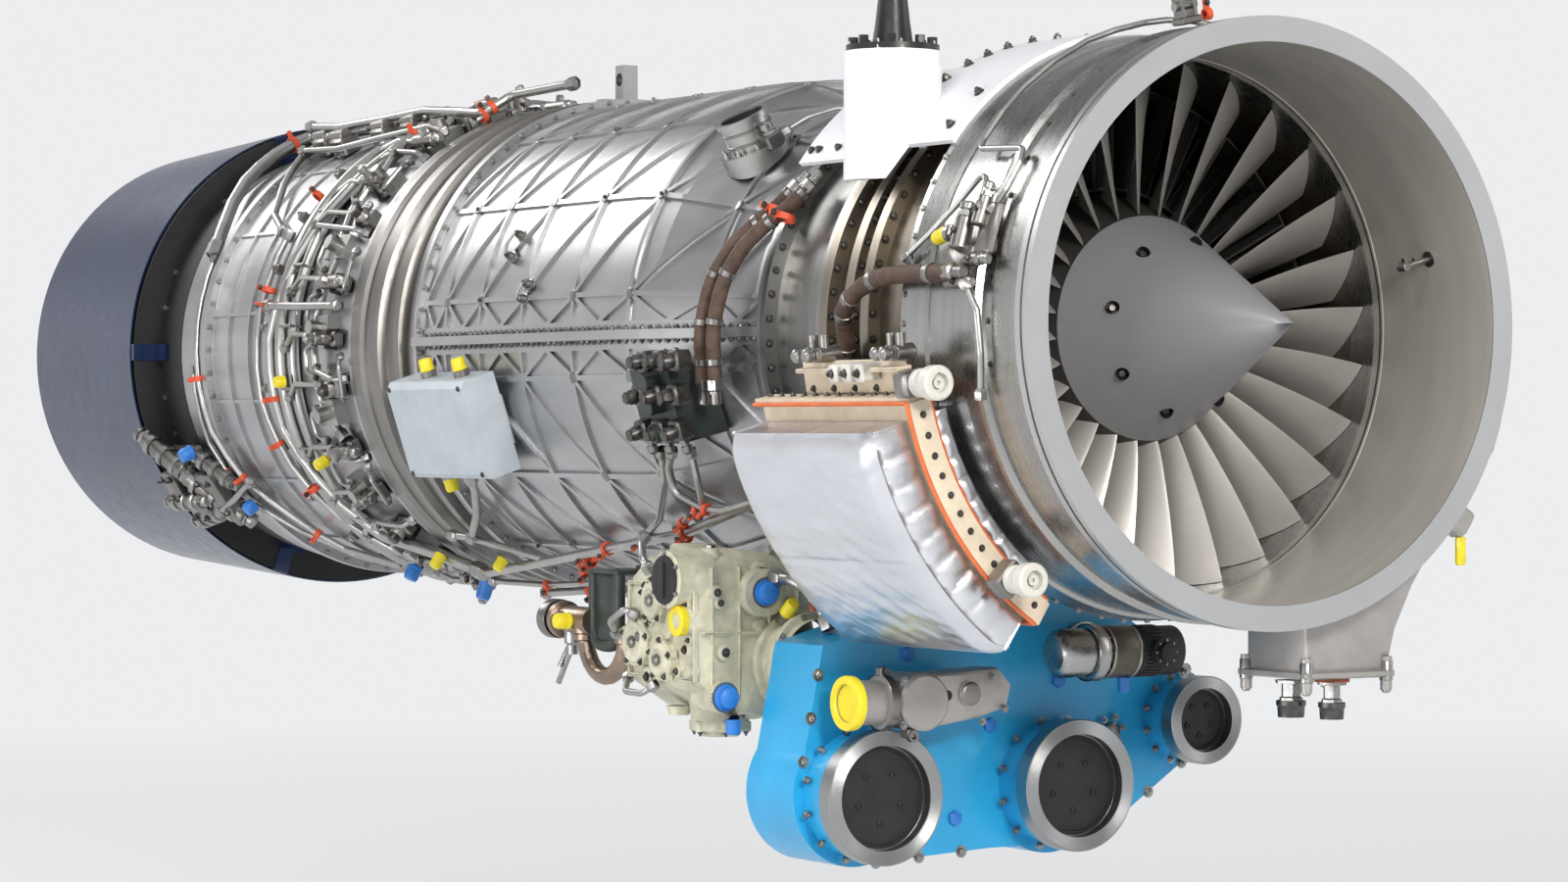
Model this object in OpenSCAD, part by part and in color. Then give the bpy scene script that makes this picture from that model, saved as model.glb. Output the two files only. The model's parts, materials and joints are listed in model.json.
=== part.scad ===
// Low-bypass afterburning jet engine.
// The engine's axis lies along Y with the intake at Y = 0 facing -Y, and +Z is up.
// A clock angle is 0 on the -X side and 90 at the top, as seen from the intake.

/* [Intake and fan] */
// Radius of the intake bore
bore_r = 370; // [340:1:400]
// Wall of the fan case where the intake bore is
fan_wall = 27; // [20:1:34]
// Station of the first rotor's leading edge at the tip
fan_station = 262; // [255:1:270]
// Number of fan blades
fan_blade_count = 28; // [20:1:32]
// Largest thickness of a fan blade
fan_blade_t = 6; // [4:0.5:8]
// Stagger of a fan blade at its root, from the axis
root_stagger = 24; // [16:1:30]
// Stagger of a fan blade at its tip, from the axis
tip_stagger = 52; // [40:1:58]
// Running gap between a blade tip and its case
tip_gap = 1; // [0.8:0.1:2]
// Radius of the spinner's base
spinner_r = 154; // [140:1:160]
// Length of the spinner
spinner_len = 315; // [280:1:330]
// Number of bolt pockets in the spinner
spinner_pockets = 8; // [4:1:12]

/* [Bypass duct] */
// Outer radius of the duct's skin on its widest stretch
duct_r = 393; // [385:1:400]
// Wall of the duct's skin
duct_wall = 4; // [3:0.5:6]
// Outer radius of the duct's skin at its front flange
waist_r = 322; // [316:1:330]
// Station of the duct's front flange
duct_front = 744; // [735:1:755]
// Station of the duct's rear flange
duct_rear = 1712; // [1690:1:1725]
// Height of the ribs above the skin
rib_h = 5; // [3:0.5:7]
// Width of a rib
rib_w = 7; // [5:0.5:10]
// Bays between the lengthwise ribs of one half of the duct
rib_bays = 7; // [5:1:9]
// Clock angle of the first lengthwise rib above the split
first_rib = 9; // [7:0.5:12]
// Thickness of a split flange
split_t = 7; // [5:0.5:9]
// How far a split flange stands out from the skin
split_w = 20; // [16:1:26]

/* [Afterburner] */
// Station of the joint between the ribbed afterburner case and the jet pipe
pipe_joint = 2560; // [2540:1:2580]
// Station of the jet pipe's rear end, which carries the nozzle
pipe_rear = 2818; // [2800:1:2830]
// Radius of the jet pipe's rear end
pipe_rear_r = 374; // [366:1:380]
// Front radius of the rear shroud
shroud_r = 431; // [425:1:440]
// Rear radius of the rear shroud
shroud_rear_r = 408; // [400:1:425]
// Length of the rear shroud
shroud_len = 520; // [480:5:560]
// Number of nozzle flaps
flap_count = 10; // [10:1:10]
// Length of a nozzle flap
flap_len = 270; // [240:5:290]
// Angle of the closed flaps from the axis
flap_closed = 20; // [16:1:22]
// Thickness of a nozzle flap
flap_t = 4; // [3:0.5:5]

/* [Core] */
// Outer radius of the low-pressure shaft
fan_shaft_r = 30; // [26:1:32]
// Outer radius of the high-pressure shaft
core_shaft_r = 50; // [46:1:54]
// Number of compressor stages
compressor_stages = 7; // [5:1:8]
// Number of blades in a compressor stage
compressor_blades = 30; // [20:1:36]
// Number of blades in a turbine stage
turbine_blades = 40; // [30:1:48]
// Front radius of the compressor's blade tips
compressor_tip_r = 250; // [240:1:256]
// Radius of the combustor case
combustor_r = 290; // [282:1:296]

/* [Gearbox] */
// Station of the gearbox pads' front faces
pad_station = 500; // [490:1:510]
// Outer radius of the two large gearbox pads
pad_r = 94; // [88:1:98]
// Bore radius of the two large gearbox pads
pad_bore_r = 73; // [68:1:78]
// Outer radius of the small gearbox pad
small_pad_r = 64; // [58:1:68]
// Bore radius of the small gearbox pad
small_pad_bore_r = 46; // [42:1:50]
// Depth of a pad's ring
pad_t = 26; // [20:1:32]
// How deep the black cover lies in its pad
cover_depth = 18; // [12:1:20]

/* [Hanger] */
// Outer radius of the hanger's post
post_r = 67; // [60:1:72]
// Height of the hanger's post above the engine's axis
post_top = 376; // [366:1:390]
// Radius of the hanger rod's free end
rod_end_r = 14; // [12:1:16]

/* [Hidden] */
$fn = 96;

fit = 0.05;      // radial clearance of a running fit
seat = 0.2;      // gap between a piece and the round case that it is seated on

// Stations of the fan case and what follows it, front to back.
lip_len = 26;
case_rear = 292;
flange_h = 28;   // how far the ring flanges stand above the flow path
flange_a = 436;
flange_b = 486;
flange_c = 577;
flange_t = 10;
fan_case_r = bore_r + fan_wall;
ring_outer_r = fan_case_r + 7;
case_flange_r = fan_case_r + 4;
fan_row = 92;
blade_rear = fan_station + fan_row;

// Inner radius of the flow path's outer wall at station y, straight between its corners.
path_y = [0, fan_station - 6, blade_rear + 4, flange_a, flange_c, duct_front];
path_r = [bore_r, bore_r, bore_r - 20, bore_r - 38, bore_r - 50, waist_r - 12];
function path_at(y) = lookup(y, [for (i = [0:len(path_y) - 1]) [path_y[i], path_r[i]]]);

// Outer radius of the hub at station y.
hub_y = [spinner_len - 31, blade_rear + 14, flange_b, flange_c + 8, duct_front];
hub_r = [spinner_r, spinner_r + 30, spinner_r + 52, spinner_r + 60, spinner_r + 26];
function hub_at(y) = lookup(y, [for (i = [0:len(hub_y) - 1]) [hub_y[i], hub_r[i]]]);

// Outer radius of the duct's skin at station y: a smooth flare from the waist, then straight.
flare_len = 350;
flare_steps = 7;
function smooth(f) = f * f * (3 - 2 * f);
function duct_at(y) = waist_r + (duct_r - waist_r) * smooth(min(1, max(0, (y - duct_front) / flare_len)));

// Revolves a profile of [radius, station] points about the engine's axis.
module turned() rotate([-90, 0, 0]) rotate_extrude() children();

// A plain band from station y0 to y1 between two radii.
module band(y0, y1, inner, outer) turned() translate([inner, y0]) square([outer - inner, y1 - y0]);

// Places children at a clock angle and station: +Z points outward, +Y aft, X along the turn.
module clock(angle, station = 0) translate([0, station, 0]) rotate([0, angle - 90, 0]) children();

// A solid cylinder along Y from station y0 to y1, about the point (x, z).
module along_y(x, z, y0, y1, r) translate([x, y0, z]) rotate([-90, 0, 0]) cylinder(h = y1 - y0, r = r);

// A band that runs only from clock angle t0 to clock angle t1.
module sector(y0, y1, inner, outer, t0, t1) {
    translate([0, y0, 0]) rotate([-90, 0, 0]) rotate(180 + t0)
        rotate_extrude(angle = t1 - t0) translate([inner, 0]) square([outer - inner, y1 - y0]);
}

// A flat ring of straight blades between two radii, as thick as their chord.
module blade_row(y, chord, inner, outer, count, thick) {
    translate([0, y, 0]) rotate([-90, 0, 0]) linear_extrude(chord)
        for (i = [0:count - 1]) rotate(i * 360 / count)
            translate([inner, -thick / 2]) square([outer - inner, thick]);
}

// The intake's bright front ring, with a groove for the band that holds the intake duct.
module front_ring() {
    r = ring_outer_r;
    color("silver") turned() polygon([
        [bore_r, 0], [r, 0], [r, 10], [r - 5, 10], [r - 5, 15], [r, 15], [r, lip_len], [bore_r, lip_len]
    ]);
}

// The fan case: smooth bore inside, stiffening bands and a bolted rear flange outside.
module fan_case() {
    r = fan_case_r;
    color("lightgray") turned() polygon([
        [bore_r, lip_len], [r + 1, lip_len], [r + 1, 86], [r - 6, 92], [r - 6, 118],
        [r + 3, 122], [r + 3, 130], [r - 1, 134], [r - 1, 164], [r - 5, 168], [r - 5, 240],
        [r, 244], [case_flange_r, case_rear - 12], [case_flange_r, case_rear],
        [path_at(case_rear), case_rear], [path_at(fan_station - 6), fan_station - 6]
    ]);
}

// The tapered rear part of the fan case with its three pairs of bolted ring flanges.
module fan_case_rear() {
    wall = 8;
    color("silver") union() {
        turned() polygon([
            [path_at(case_rear), case_rear], [fan_case_r - 2, case_rear], [fan_case_r - 2, case_rear + 10],
            [path_at(case_rear) + wall + 4, case_rear + 22], [path_at(blade_rear) + wall, blade_rear],
            [path_at(flange_a) + wall, flange_a], [path_at(flange_c) + wall, flange_c],
            [path_at(flange_c), flange_c], [path_at(flange_a), flange_a],
            [path_at(blade_rear + 4), blade_rear + 4]
        ]);
        for (y = [flange_a, flange_b, flange_c - 2 * flange_t])
            band(y, y + 2 * flange_t, path_at(y) + 2, path_at(y) + flange_h);
    }
}

// The front frame: outer wall, splitter, bearing hub and the struts that join them.
strut_count = 6;
splitter_y = flange_c + 40;
splitter_r = 266;
frame_hub_r = 84;
core_path_r = hub_at(duct_front);
module front_frame() {
    wall = 10;
    strut_t = 30;
    color("gray") difference() {
        union() {
            turned() polygon([
                [path_at(flange_c), flange_c], [path_at(flange_c) + flange_h, flange_c],
                [path_at(flange_c) + flange_h, flange_c + flange_t],
                [path_at(flange_c) + wall, flange_c + flange_t],
                [waist_r, duct_front - flange_t], [waist_r + 22, duct_front - flange_t],
                [waist_r + 22, duct_front], [waist_r - 12, duct_front]
            ]);
            turned() polygon([
                [splitter_r, splitter_y], [splitter_r + 10, splitter_y + 30], [splitter_r + 14, duct_front],
                [compressor_tip_r, duct_front], [splitter_r - 4, splitter_y + 20]
            ]);
            turned() polygon([
                [frame_hub_r, flange_c + 14], [hub_at(flange_c + 14), flange_c + 14],
                [core_path_r, duct_front], [core_path_r - 10, duct_front],
                [core_path_r - 10, flange_c + 34], [frame_hub_r, flange_c + 34]
            ]);
            for (i = [0:strut_count - 1]) clock(90 + i * 360 / strut_count)
                translate([-strut_t / 2, splitter_y + 22, core_path_r - 4])
                    cube([strut_t, duct_front - splitter_y - 36, waist_r - core_path_r]);
            translate([0, tower_y, -boss_z]) cylinder(h = boss_z - splitter_r, r = boss_r);
        }
        tower_bore();
    }
}

// Passage of the tower shaft through the bottom strut, and its axis.
tower_y = splitter_y + 70;
tower_r = 10;
tower_bottom = -470;
boss_r = 34;
boss_z = path_at(flange_c) + flange_h + seat;
module tower_bore() translate([0, tower_y, -boss_z - 1]) cylinder(h = boss_z - 60, r = tower_r + 1.5);

// Profile of the duct's skin from y0 to y1, grown outward by extra, with its inner wall.
function flare_line(y0, y1, extra) = [
    for (i = [0:flare_steps]) let (y = duct_front + flare_len * i / flare_steps)
        if (y >= y0 && y <= y1) [duct_at(y) + extra, y]
];
module duct_profile(outer_extra, inner_extra) {
    outer = flare_line(duct_front, duct_rear, outer_extra);
    inner = flare_line(duct_front, duct_rear, inner_extra);
    polygon(concat(
        outer, [[duct_r + outer_extra, duct_rear], [duct_r + inner_extra, duct_rear]],
        [for (i = [len(inner) - 1:-1:0]) inner[i]]
    ));
}

// Corners of a triangle whose sides are all moved inward by d.
function inset(p, d) = let (
        sides = [norm(p[1] - p[2]), norm(p[2] - p[0]), norm(p[0] - p[1])],
        round = sides[0] + sides[1] + sides[2],
        centre = (sides[0] * p[0] + sides[1] * p[1] + sides[2] * p[2]) / round,
        in_r = abs(cross(p[1] - p[0], p[2] - p[0])) / round
    ) [for (q = p) centre + (q - centre) * max(0.02, 1 - d / in_r)];

// One triangular pocket of the rib grid, between three [clock, station] corners.
module rib_pocket(a, b, c) {
    mid = (a[0] + b[0] + c[0]) / 3;
    corners = [for (p = [a, b, c]) [duct_at(p[1]) * sin(p[0] - mid), p[1]]];
    clock(mid) translate([0, 0, waist_r - 60]) linear_extrude(duct_r - waist_r + 90)
        polygon(inset(corners, rib_w / 2));
}

// Stations of the ring ribs, and clock angles of the lengthwise ribs of the upper half.
rib_stations = [duct_front + 22, 880, 1040, 1205, 1366, 1506, 1622, duct_rear - 16];
rib_angles = [for (i = [0:rib_bays]) first_rib + i * (180 - 2 * first_rib) / rib_bays];
split_edge = 2.6;

// Every pocket of one half: two triangles a cell, and a zigzag beside the split flanges.
module rib_pockets() {
    for (row = [0:len(rib_stations) - 2]) {
        y0 = rib_stations[row];
        y1 = rib_stations[row + 1];
        ym = (y0 + y1) / 2;
        for (i = [0:rib_bays - 1]) {
            t0 = rib_angles[i];
            t1 = rib_angles[i + 1];
            rib_pocket([t0, y0], [t1, y0], [t0, y1]);
            rib_pocket([t1, y0], [t1, y1], [t0, y1]);
        }
        for (side = [0, 1]) {
            near = side == 0 ? split_edge : 180 - split_edge;
            far = side == 0 ? first_rib : 180 - first_rib;
            rib_pocket([far, y0], [far, y1], [near, ym]);
            rib_pocket([near, y0], [near, ym], [far, y0]);
            rib_pocket([near, ym], [near, y1], [far, y1]);
        }
    }
}

// The upper half of the ribbed bypass duct with its end and split flanges.
module duct_half() {
    end_w = 22;
    difference() {
        union() {
            turned() duct_profile(rib_h, -duct_wall);
            band(duct_front, duct_front + flange_t, waist_r - duct_wall, waist_r + end_w);
            band(duct_rear - flange_t, duct_rear, duct_r - duct_wall, duct_r + 16);
            for (side = [-1, 1]) intersection() {
                translate([side * duct_r, (duct_front + duct_rear) / 2, split_t / 2])
                    cube([2 * (duct_r - waist_r) + 60, duct_rear - duct_front, split_t], center = true);
                turned() duct_profile(split_w, -duct_wall);
            }
        }
        difference() {
            rib_pockets();
            turned() polygon(concat(
                [[0, duct_front - 1]], flare_line(0, duct_rear, 0),
                [[duct_r, duct_rear + 1], [0, duct_rear + 1]]
            ));
        }
        translate([-2 * duct_r, 0, -2 * duct_r]) cube([4 * duct_r, 2 * duct_rear, 2 * duct_r]);
    }
}

module duct_upper() color("silver") difference() {
    duct_half();
    bleed_place() translate([0, 0, -bleed_sink]) cylinder(h = 2 * bleed_sink, r = bleed_bore_r - bleed_step);
}

module duct_lower() color("silver") mirror([0, 0, 1]) duct_half();

// The pair of heavy ring flanges behind the ribbed duct.
aft_ring_rear = 1950;
aft_wall_r = duct_r - duct_wall;
module aft_ring() {
    r = duct_r;
    color("gray") turned() polygon([
        [aft_wall_r, duct_rear], [r + 16, duct_rear], [r + 16, duct_rear + flange_t],
        [r, duct_rear + flange_t], [r, 1762], [r + 16, 1766], [r + 16, 1784],
        [r + 2, 1790], [r + 2, 1842], [r + 14, 1846], [r + 14, 1862],
        [r + 6, 1866], [r + 6, 1912], [r + 13, 1916], [r + 13, aft_ring_rear - 14], [r + 13, aft_ring_rear],
        [aft_wall_r, aft_ring_rear]
    ]);
}

// The afterburner case: plain under the pipes, then ribbed, with a bolted rear flange.
rib2_front = 2300;
module afterburner_case() {
    r = duct_r - 3;
    rows = [rib2_front, 2390, 2475, pipe_joint - 14];
    angles = 16;
    step = 360 / angles;
    color("silver") union() {
        band(aft_ring_rear, pipe_joint, r - duct_wall, r);
        band(aft_ring_rear, aft_ring_rear + flange_t, r - duct_wall, r + 15);
        band(pipe_joint - flange_t, pipe_joint, r - duct_wall, r + 15);
        for (y = rows) band(y - rib_w / 2, y + rib_w / 2, r - 1, r + rib_h);
        for (i = [0:angles - 1]) clock(first_rib + i * step, (rows[0] + rows[3]) / 2)
            translate([0, 0, r + rib_h / 2 - 1]) cube([rib_w - 1, rows[3] - rows[0], rib_h], center = true);
    }
}

// The smooth jet pipe with the clevises that carry the nozzle flaps.
hinge_y = pipe_rear + 14;
hinge_r = pipe_rear_r - 2;
pin_r = 4;
knuckle_r = 8;
knuckle_w = 60;
ear_t = 8;
function flap_angle(i) = 90 + i * 360 / flap_count;
module jet_pipe() {
    r = duct_r - 3;
    color("gainsboro") union() {
        turned() polygon([
            [r - duct_wall, pipe_joint], [r + 15, pipe_joint], [r + 15, pipe_joint + flange_t],
            [r, pipe_joint + flange_t], [r, 2690], [pipe_rear_r, pipe_rear],
            [pipe_rear_r - 8, pipe_rear], [r - duct_wall, 2690]
        ]);
        for (i = [0:flap_count - 1]) clock(flap_angle(i), hinge_y) translate([0, 0, hinge_r]) {
            for (side = [-1, 1]) translate([side * (knuckle_w / 2 + ear_t / 2 + 0.5), -7, 0])
                cube([ear_t, 20, 12], center = true);
            rotate([0, 90, 0]) cylinder(h = knuckle_w + 2 * ear_t, r = pin_r, center = true);
        }
    }
}

// The thin rear shroud, held to the jet pipe's end by bent brackets.
shroud_front = 2830;
bracket_count = 5;
module rear_shroud() {
    wall = 3;
    color("midnightblue") union() {
        turned() polygon([
            [shroud_r - wall, shroud_front], [shroud_r, shroud_front],
            [shroud_rear_r, shroud_front + shroud_len], [shroud_rear_r - wall, shroud_front + shroud_len]
        ]);
        for (i = [0:bracket_count - 1]) clock(bracket_clock + i * 360 / bracket_count) difference() {
            union() {
                translate([-bracket_w / 2, pipe_rear - 50, pipe_rear_r - 4]) cube([bracket_w, 54, 18]);
                translate([-bracket_w / 2, pipe_rear - 2, pipe_rear_r - 4])
                    cube([bracket_w, 6, shroud_r - pipe_rear_r]);
                translate([-bracket_w / 2, pipe_rear - 2, shroud_r - 11]) cube([bracket_w, 32, 9]);
            }
            pipe_space();
        }
    }
}
bracket_clock = 72;
bracket_w = 30;

// The space of the jet pipe, which its brackets and actuators are cut back from.
module pipe_space() {
    r = duct_r - 3 + seat;
    turned() polygon([
        [0, pipe_joint + flange_t], [r, pipe_joint + flange_t], [r, 2690],
        [pipe_rear_r + seat, pipe_rear], [0, pipe_rear]
    ]);
}

// Two rings of fan vanes between the rotors, each with its inner shroud.
module fan_vanes() {
    color("darkgray") for (y = [blade_rear + 14, flange_b + 4]) {
        inner = hub_at(y + 36) + 2;
        outer = path_at(y + 36) - seat;
        union() {
            blade_row(y, 36, inner + 1, outer - 1, 40, 3);
            band(y, y + 36, inner, inner + 4);
            band(y, y + 36, outer - 3, outer);
        }
    }
}

// Compressor geometry.
compressor_front = duct_front + 6;
compressor_rear = 1150;
stage_pitch = (compressor_rear - compressor_front - 10) / compressor_stages;
blade_t = 3;
function along(y) = (y - compressor_front) / (compressor_rear - compressor_front);
function compressor_tip(y) = compressor_tip_r - 16 * along(y);
function compressor_hub(y) = core_path_r - 2 + 32 * along(y);

// The compressor case with its rows of fixed vanes.
module compressor_case() {
    color("darkgray") union() {
        turned() polygon([
            [compressor_tip(duct_front), duct_front], [compressor_tip(duct_front) + 30, duct_front],
            [compressor_tip(duct_front) + 30, duct_front + 8],
            [compressor_tip(duct_front) + 8, duct_front + 14],
            [compressor_tip(compressor_rear) + 8, compressor_rear - 10], [combustor_r, compressor_rear - 10],
            [combustor_r, compressor_rear], [compressor_tip(compressor_rear), compressor_rear]
        ]);
        for (s = [0:compressor_stages - 2]) {
            y = compressor_front + (s + 0.62) * stage_pitch;
            blade_row(
                y, stage_pitch * 0.3, compressor_hub(y) + 8, compressor_tip(y) + 2, compressor_blades, blade_t
            );
        }
    }
}

// The combustor case, front and rear flanged, with its ring of fuel nozzles.
combustor_rear = 1420;
module combustor_case() {
    color("tan") union() {
        band(compressor_rear, combustor_rear, combustor_r - 6, combustor_r);
        band(combustor_rear - 8, combustor_rear, combustor_r - 6, combustor_r + 12);
        band(compressor_rear + 2, combustor_rear, 88, 94);
        turned() polygon([
            [88, compressor_rear + 2], [compressor_hub(compressor_rear) - 6, compressor_rear + 2],
            [compressor_hub(compressor_rear) - 6, compressor_rear + 10], [88, compressor_rear + 10]
        ]);
        blade_row(compressor_rear + 2, 8, compressor_hub(compressor_rear) - 8, combustor_r - 4, 12, 5);
        for (i = [0:17]) clock(i * 20, compressor_rear + 26) {
            translate([0, 0, 222]) cylinder(h = combustor_r - 222 + 8, r = 6);
            translate([0, 0, 222]) rotate([-90, 0, 0]) cylinder(h = 24, r = 9);
        }
    }
}

// The annular combustor liner with its swirler holes.
module combustor_liner() {
    front = compressor_rear + 52;
    color("peru") difference() {
        turned() polygon([
            [170, front], [276, front], [276, 1400],
            [combustor_r - 6 - seat, 1400], [combustor_r - 6 - seat, combustor_rear], [273, combustor_rear],
            [273, front + 3], [173, front + 3], [173, combustor_rear], [170, combustor_rear]
        ]);
        for (i = [0:17]) clock(i * 20) along_y(0, 222, front - 1, front + 5, 14);
    }
}

// The turbine case with both rings of nozzle guide vanes.
turbine_rear = 1604;
turbine_tip = 274;
module turbine_case() {
    color("dimgray") union() {
        band(combustor_rear, turbine_rear, turbine_tip, turbine_tip + 8);
        band(combustor_rear, combustor_rear + 8, turbine_tip, combustor_r + 12);
        band(turbine_rear - 8, turbine_rear, turbine_tip, turbine_tip + 18);
        for (y = [combustor_rear + 4, 1508]) {
            blade_row(y, 26, 172, turbine_tip + 2, turbine_blades, 4);
            band(y, y + 26, 166, 174);
        }
    }
}

// The rear frame: bearing hub, struts and the outer ring that carries the mixer.
frame2_rear = 1716;
module rear_frame() {
    color("dimgray") union() {
        band(turbine_rear, frame2_rear, turbine_tip, turbine_tip + 6);
        band(turbine_rear, turbine_rear + 8, turbine_tip, turbine_tip + 18);
        band(turbine_rear + 10, frame2_rear, 150, 158);
        band(turbine_rear + 10, turbine_rear + 22, fan_shaft_r + 24, 152);
        for (i = [0:7]) clock(i * 45)
            translate([-5, turbine_rear + 24, 154]) cube([10, 70, turbine_tip - 152]);
        for (i = [0:7]) clock(22.5 + i * 45) translate([-9, frame2_rear - 34, turbine_tip + 4])
            cube([18, 24, aft_wall_r - 2 * seat - turbine_tip - 4]);
    }
}

// The exhaust cone behind the turbines.
module exhaust_cone() {
    color("dimgray") turned() polygon([
        [146, frame2_rear], [158, frame2_rear], [120, 1840], [60, 1950],
        [0, 2000], [0, 1992], [54, 1944], [114, 1836]
    ]);
}

// The mixer ring that brings the core and bypass streams together.
module mixer() {
    color("dimgray") turned() polygon([
        [turbine_tip, frame2_rear], [turbine_tip + 6, frame2_rear], [turbine_tip + 26, 1800],
        [turbine_tip + 18, 1860], [turbine_tip + 15, 1860], [turbine_tip + 22, 1800]
    ]);
}

// The afterburner's two spray rings and two gutter rings, on radial stays.
module reheat_burner() {
    stay_r = 7;
    color("sienna") union() {
        for (r = [190, 310]) {
            turned() translate([r, 1990]) circle(r = 6, $fn = 24);
            turned() polygon([
                [r, 2040], [r + 22, 2080], [r + 18, 2082], [r, 2046], [r - 18, 2082], [r - 22, 2080]
            ]);
        }
        for (i = [0:7]) clock(i * 45) {
            translate([0, 1990, 190]) cylinder(h = aft_case_r - seat - 190, r = stay_r);
            for (r = [190, 310]) translate([-3, 1990, r - 3]) cube([6, 54, 6]);
        }
    }
}
aft_case_r = duct_r - 3 - duct_wall;

// The cooled liner inside the afterburner case and jet pipe.
liner_front = 2100;
liner_t = 3;
function liner_at(y) = lookup(y, [[liner_front, aft_case_r - 30], [pipe_rear, pipe_rear_r - 18]]);
module jet_pipe_liner() {
    rear = pipe_rear - 12;
    color("rosybrown") union() {
        turned() polygon([
            [liner_at(liner_front), liner_front], [liner_at(rear), rear],
            [liner_at(rear) + liner_t, rear], [liner_at(liner_front) + liner_t, liner_front]
        ]);
        turned() polygon([
            [liner_at(liner_front) + 1, liner_front], [aft_case_r - seat, liner_front - 8],
            [aft_case_r - seat, liner_front - 4], [liner_at(liner_front) + liner_t, liner_front + 6]
        ]);
        for (y = [2230, 2360, 2490]) band(y, y + 6, liner_at(y) + 1, aft_case_r - seat);
        band(rear - 8, rear, liner_at(rear) + 1, pipe_rear_r - 8 + 1.5);
    }
}

// The shaft bearings' outer races, seated in the front and rear frames.
bearing_1_y = flange_c + 14;
bearing_2_y = turbine_rear + 10;
module bearings() {
    color("steelblue") {
        band(bearing_1_y, bearing_1_y + 20, fan_shaft_r + fit, frame_hub_r - fit);
        band(bearing_2_y, bearing_2_y + 12, fan_shaft_r + fit, fan_shaft_r + 24 - fit);
        band(compressor_rear + 20, compressor_rear + 40, core_shaft_r + fit, 88 - fit);
    }
}

// The conical spinner with its slanted bolt pockets.
spinner_front = -31;
module spinner() {
    base_y = spinner_front + spinner_len;
    pocket_r = 118;
    pocket_y = spinner_front + spinner_len * pocket_r / spinner_r;
    color("gray") difference() {
        turned() polygon([
            [0, spinner_front], [spinner_r, base_y], [spinner_r - 18, base_y],
            [spinner_r - 18, base_y - 8], [0, spinner_front + 40]
        ]);
        for (i = [0:spinner_pockets - 1]) clock(12 + i * 360 / spinner_pockets, pocket_y)
            translate([0, 0, pocket_r]) rotate([60, 0, 0]) translate([0, 0, -9]) cylinder(h = 40, r = 9);
    }
}

// One corner of a fan blade: f runs from root to tip, c from leading to trailing edge.
fan_chords = [0, 0.28, 0.68, 1, 0.68, 0.28];
fan_sides = [0, 1, 1, 0, -1, -1];
fan_spans = [0, 0.3, 0.55, 0.8, 1];
function fan_corner(f, k) = let (
        c = fan_chords[k],
        stagger = root_stagger + (tip_stagger - root_stagger) * pow(f, 0.8),
        axial = (fan_row - 16) * (1 - 0.28 * f) + 5 * sin(180 * f),
        start = fan_station + 6 + (spinner_front + spinner_len + 2 - fan_station - 6) * pow(1 - f, 1.5),
        chord = axial / cos(stagger),
        camber = 0.07 * chord * (1 - 0.5 * f) * sin(180 * c),
        thick = fan_sides[k] * fan_blade_t / 2 * (1 - 0.55 * f) * (c == 0.28 ? 1 : 0.8),
        across = camber + thick,
        x = (c - 0.5) * chord * sin(stagger) + across * cos(stagger),
        y = start + axial * c - across * sin(stagger),
        root = hub_at(y) + seat,
        tip = path_at(y) - tip_gap,
        r = root + (tip - root) * f
    ) [x, y, sqrt(r * r - x * x)];

module fan_blade() {
    n = len(fan_chords);
    spans = len(fan_spans);
    points = [for (s = fan_spans) for (k = [0:n - 1]) fan_corner(s, k)];
    sides = [for (j = [0:spans - 2]) for (k = [0:n - 1]) let (
            a = j * n + k, b = j * n + (k + 1) % n
        ) each [[a, b, b + n], [a, b + n, a + n]]];
    cap = [[0, 5, 1], [1, 5, 4], [1, 4, 2], [2, 4, 3]];
    top = (spans - 1) * n;
    polyhedron(points, concat(sides, cap, [for (t = cap) [top + t[0], top + t[2], top + t[1]]]));
}

// The first stage's blades, each a solid of its own.
module fan_blades() {
    color("lightsteelblue") for (i = [0:fan_blade_count - 1])
        clock(90 + i * 360 / fan_blade_count) fan_blade();
}

// The fan's discs, welded into one drum, with the blades of the second and third stages.
drum_front = spinner_front + spinner_len;
drum_rear = flange_c + 8;
module fan_drum() {
    web_t = 12;
    rim_t = 10;
    stage_2 = blade_rear + 56;
    stage_3 = (flange_b + drum_rear - 7) / 2;
    color("slategray") union() {
        turned() polygon([
            [hub_at(drum_front), drum_front], [hub_at(blade_rear + 14), blade_rear + 14],
            [hub_at(flange_b), flange_b], [hub_at(drum_rear), drum_rear],
            [hub_at(drum_rear) - rim_t, drum_rear], [hub_at(flange_b) - rim_t, flange_b],
            [hub_at(blade_rear + 14) - rim_t, blade_rear + 14], [hub_at(drum_front) - rim_t, drum_front]
        ]);
        for (y = [drum_front + 8, 420, drum_rear - 18])
            band(y, y + web_t, y > 500 ? fan_shaft_r + fit : 70, hub_at(y) - rim_t / 2);
        band(drum_rear - 30, drum_rear - 4, fan_shaft_r + fit, fan_shaft_r + 12);
        blade_row(stage_2, 34, hub_at(stage_2) - 4, path_at(stage_2 + 34) - tip_gap, 32, 4);
        blade_row(stage_3, 30, hub_at(stage_3) - 4, path_at(stage_3 + 30) - tip_gap, 36, 4);
    }
}

// The low-pressure shaft, from the fan drum to its turbine.
fan_turbine_y = 1546;
module fan_shaft() {
    color("slategray") difference() {
        along_y(0, 0, drum_rear - 60, bearing_2_y + 24, fan_shaft_r);
        along_y(0, 0, drum_rear - 61, bearing_2_y + 25, fan_shaft_r - 8);
    }
}

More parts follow.
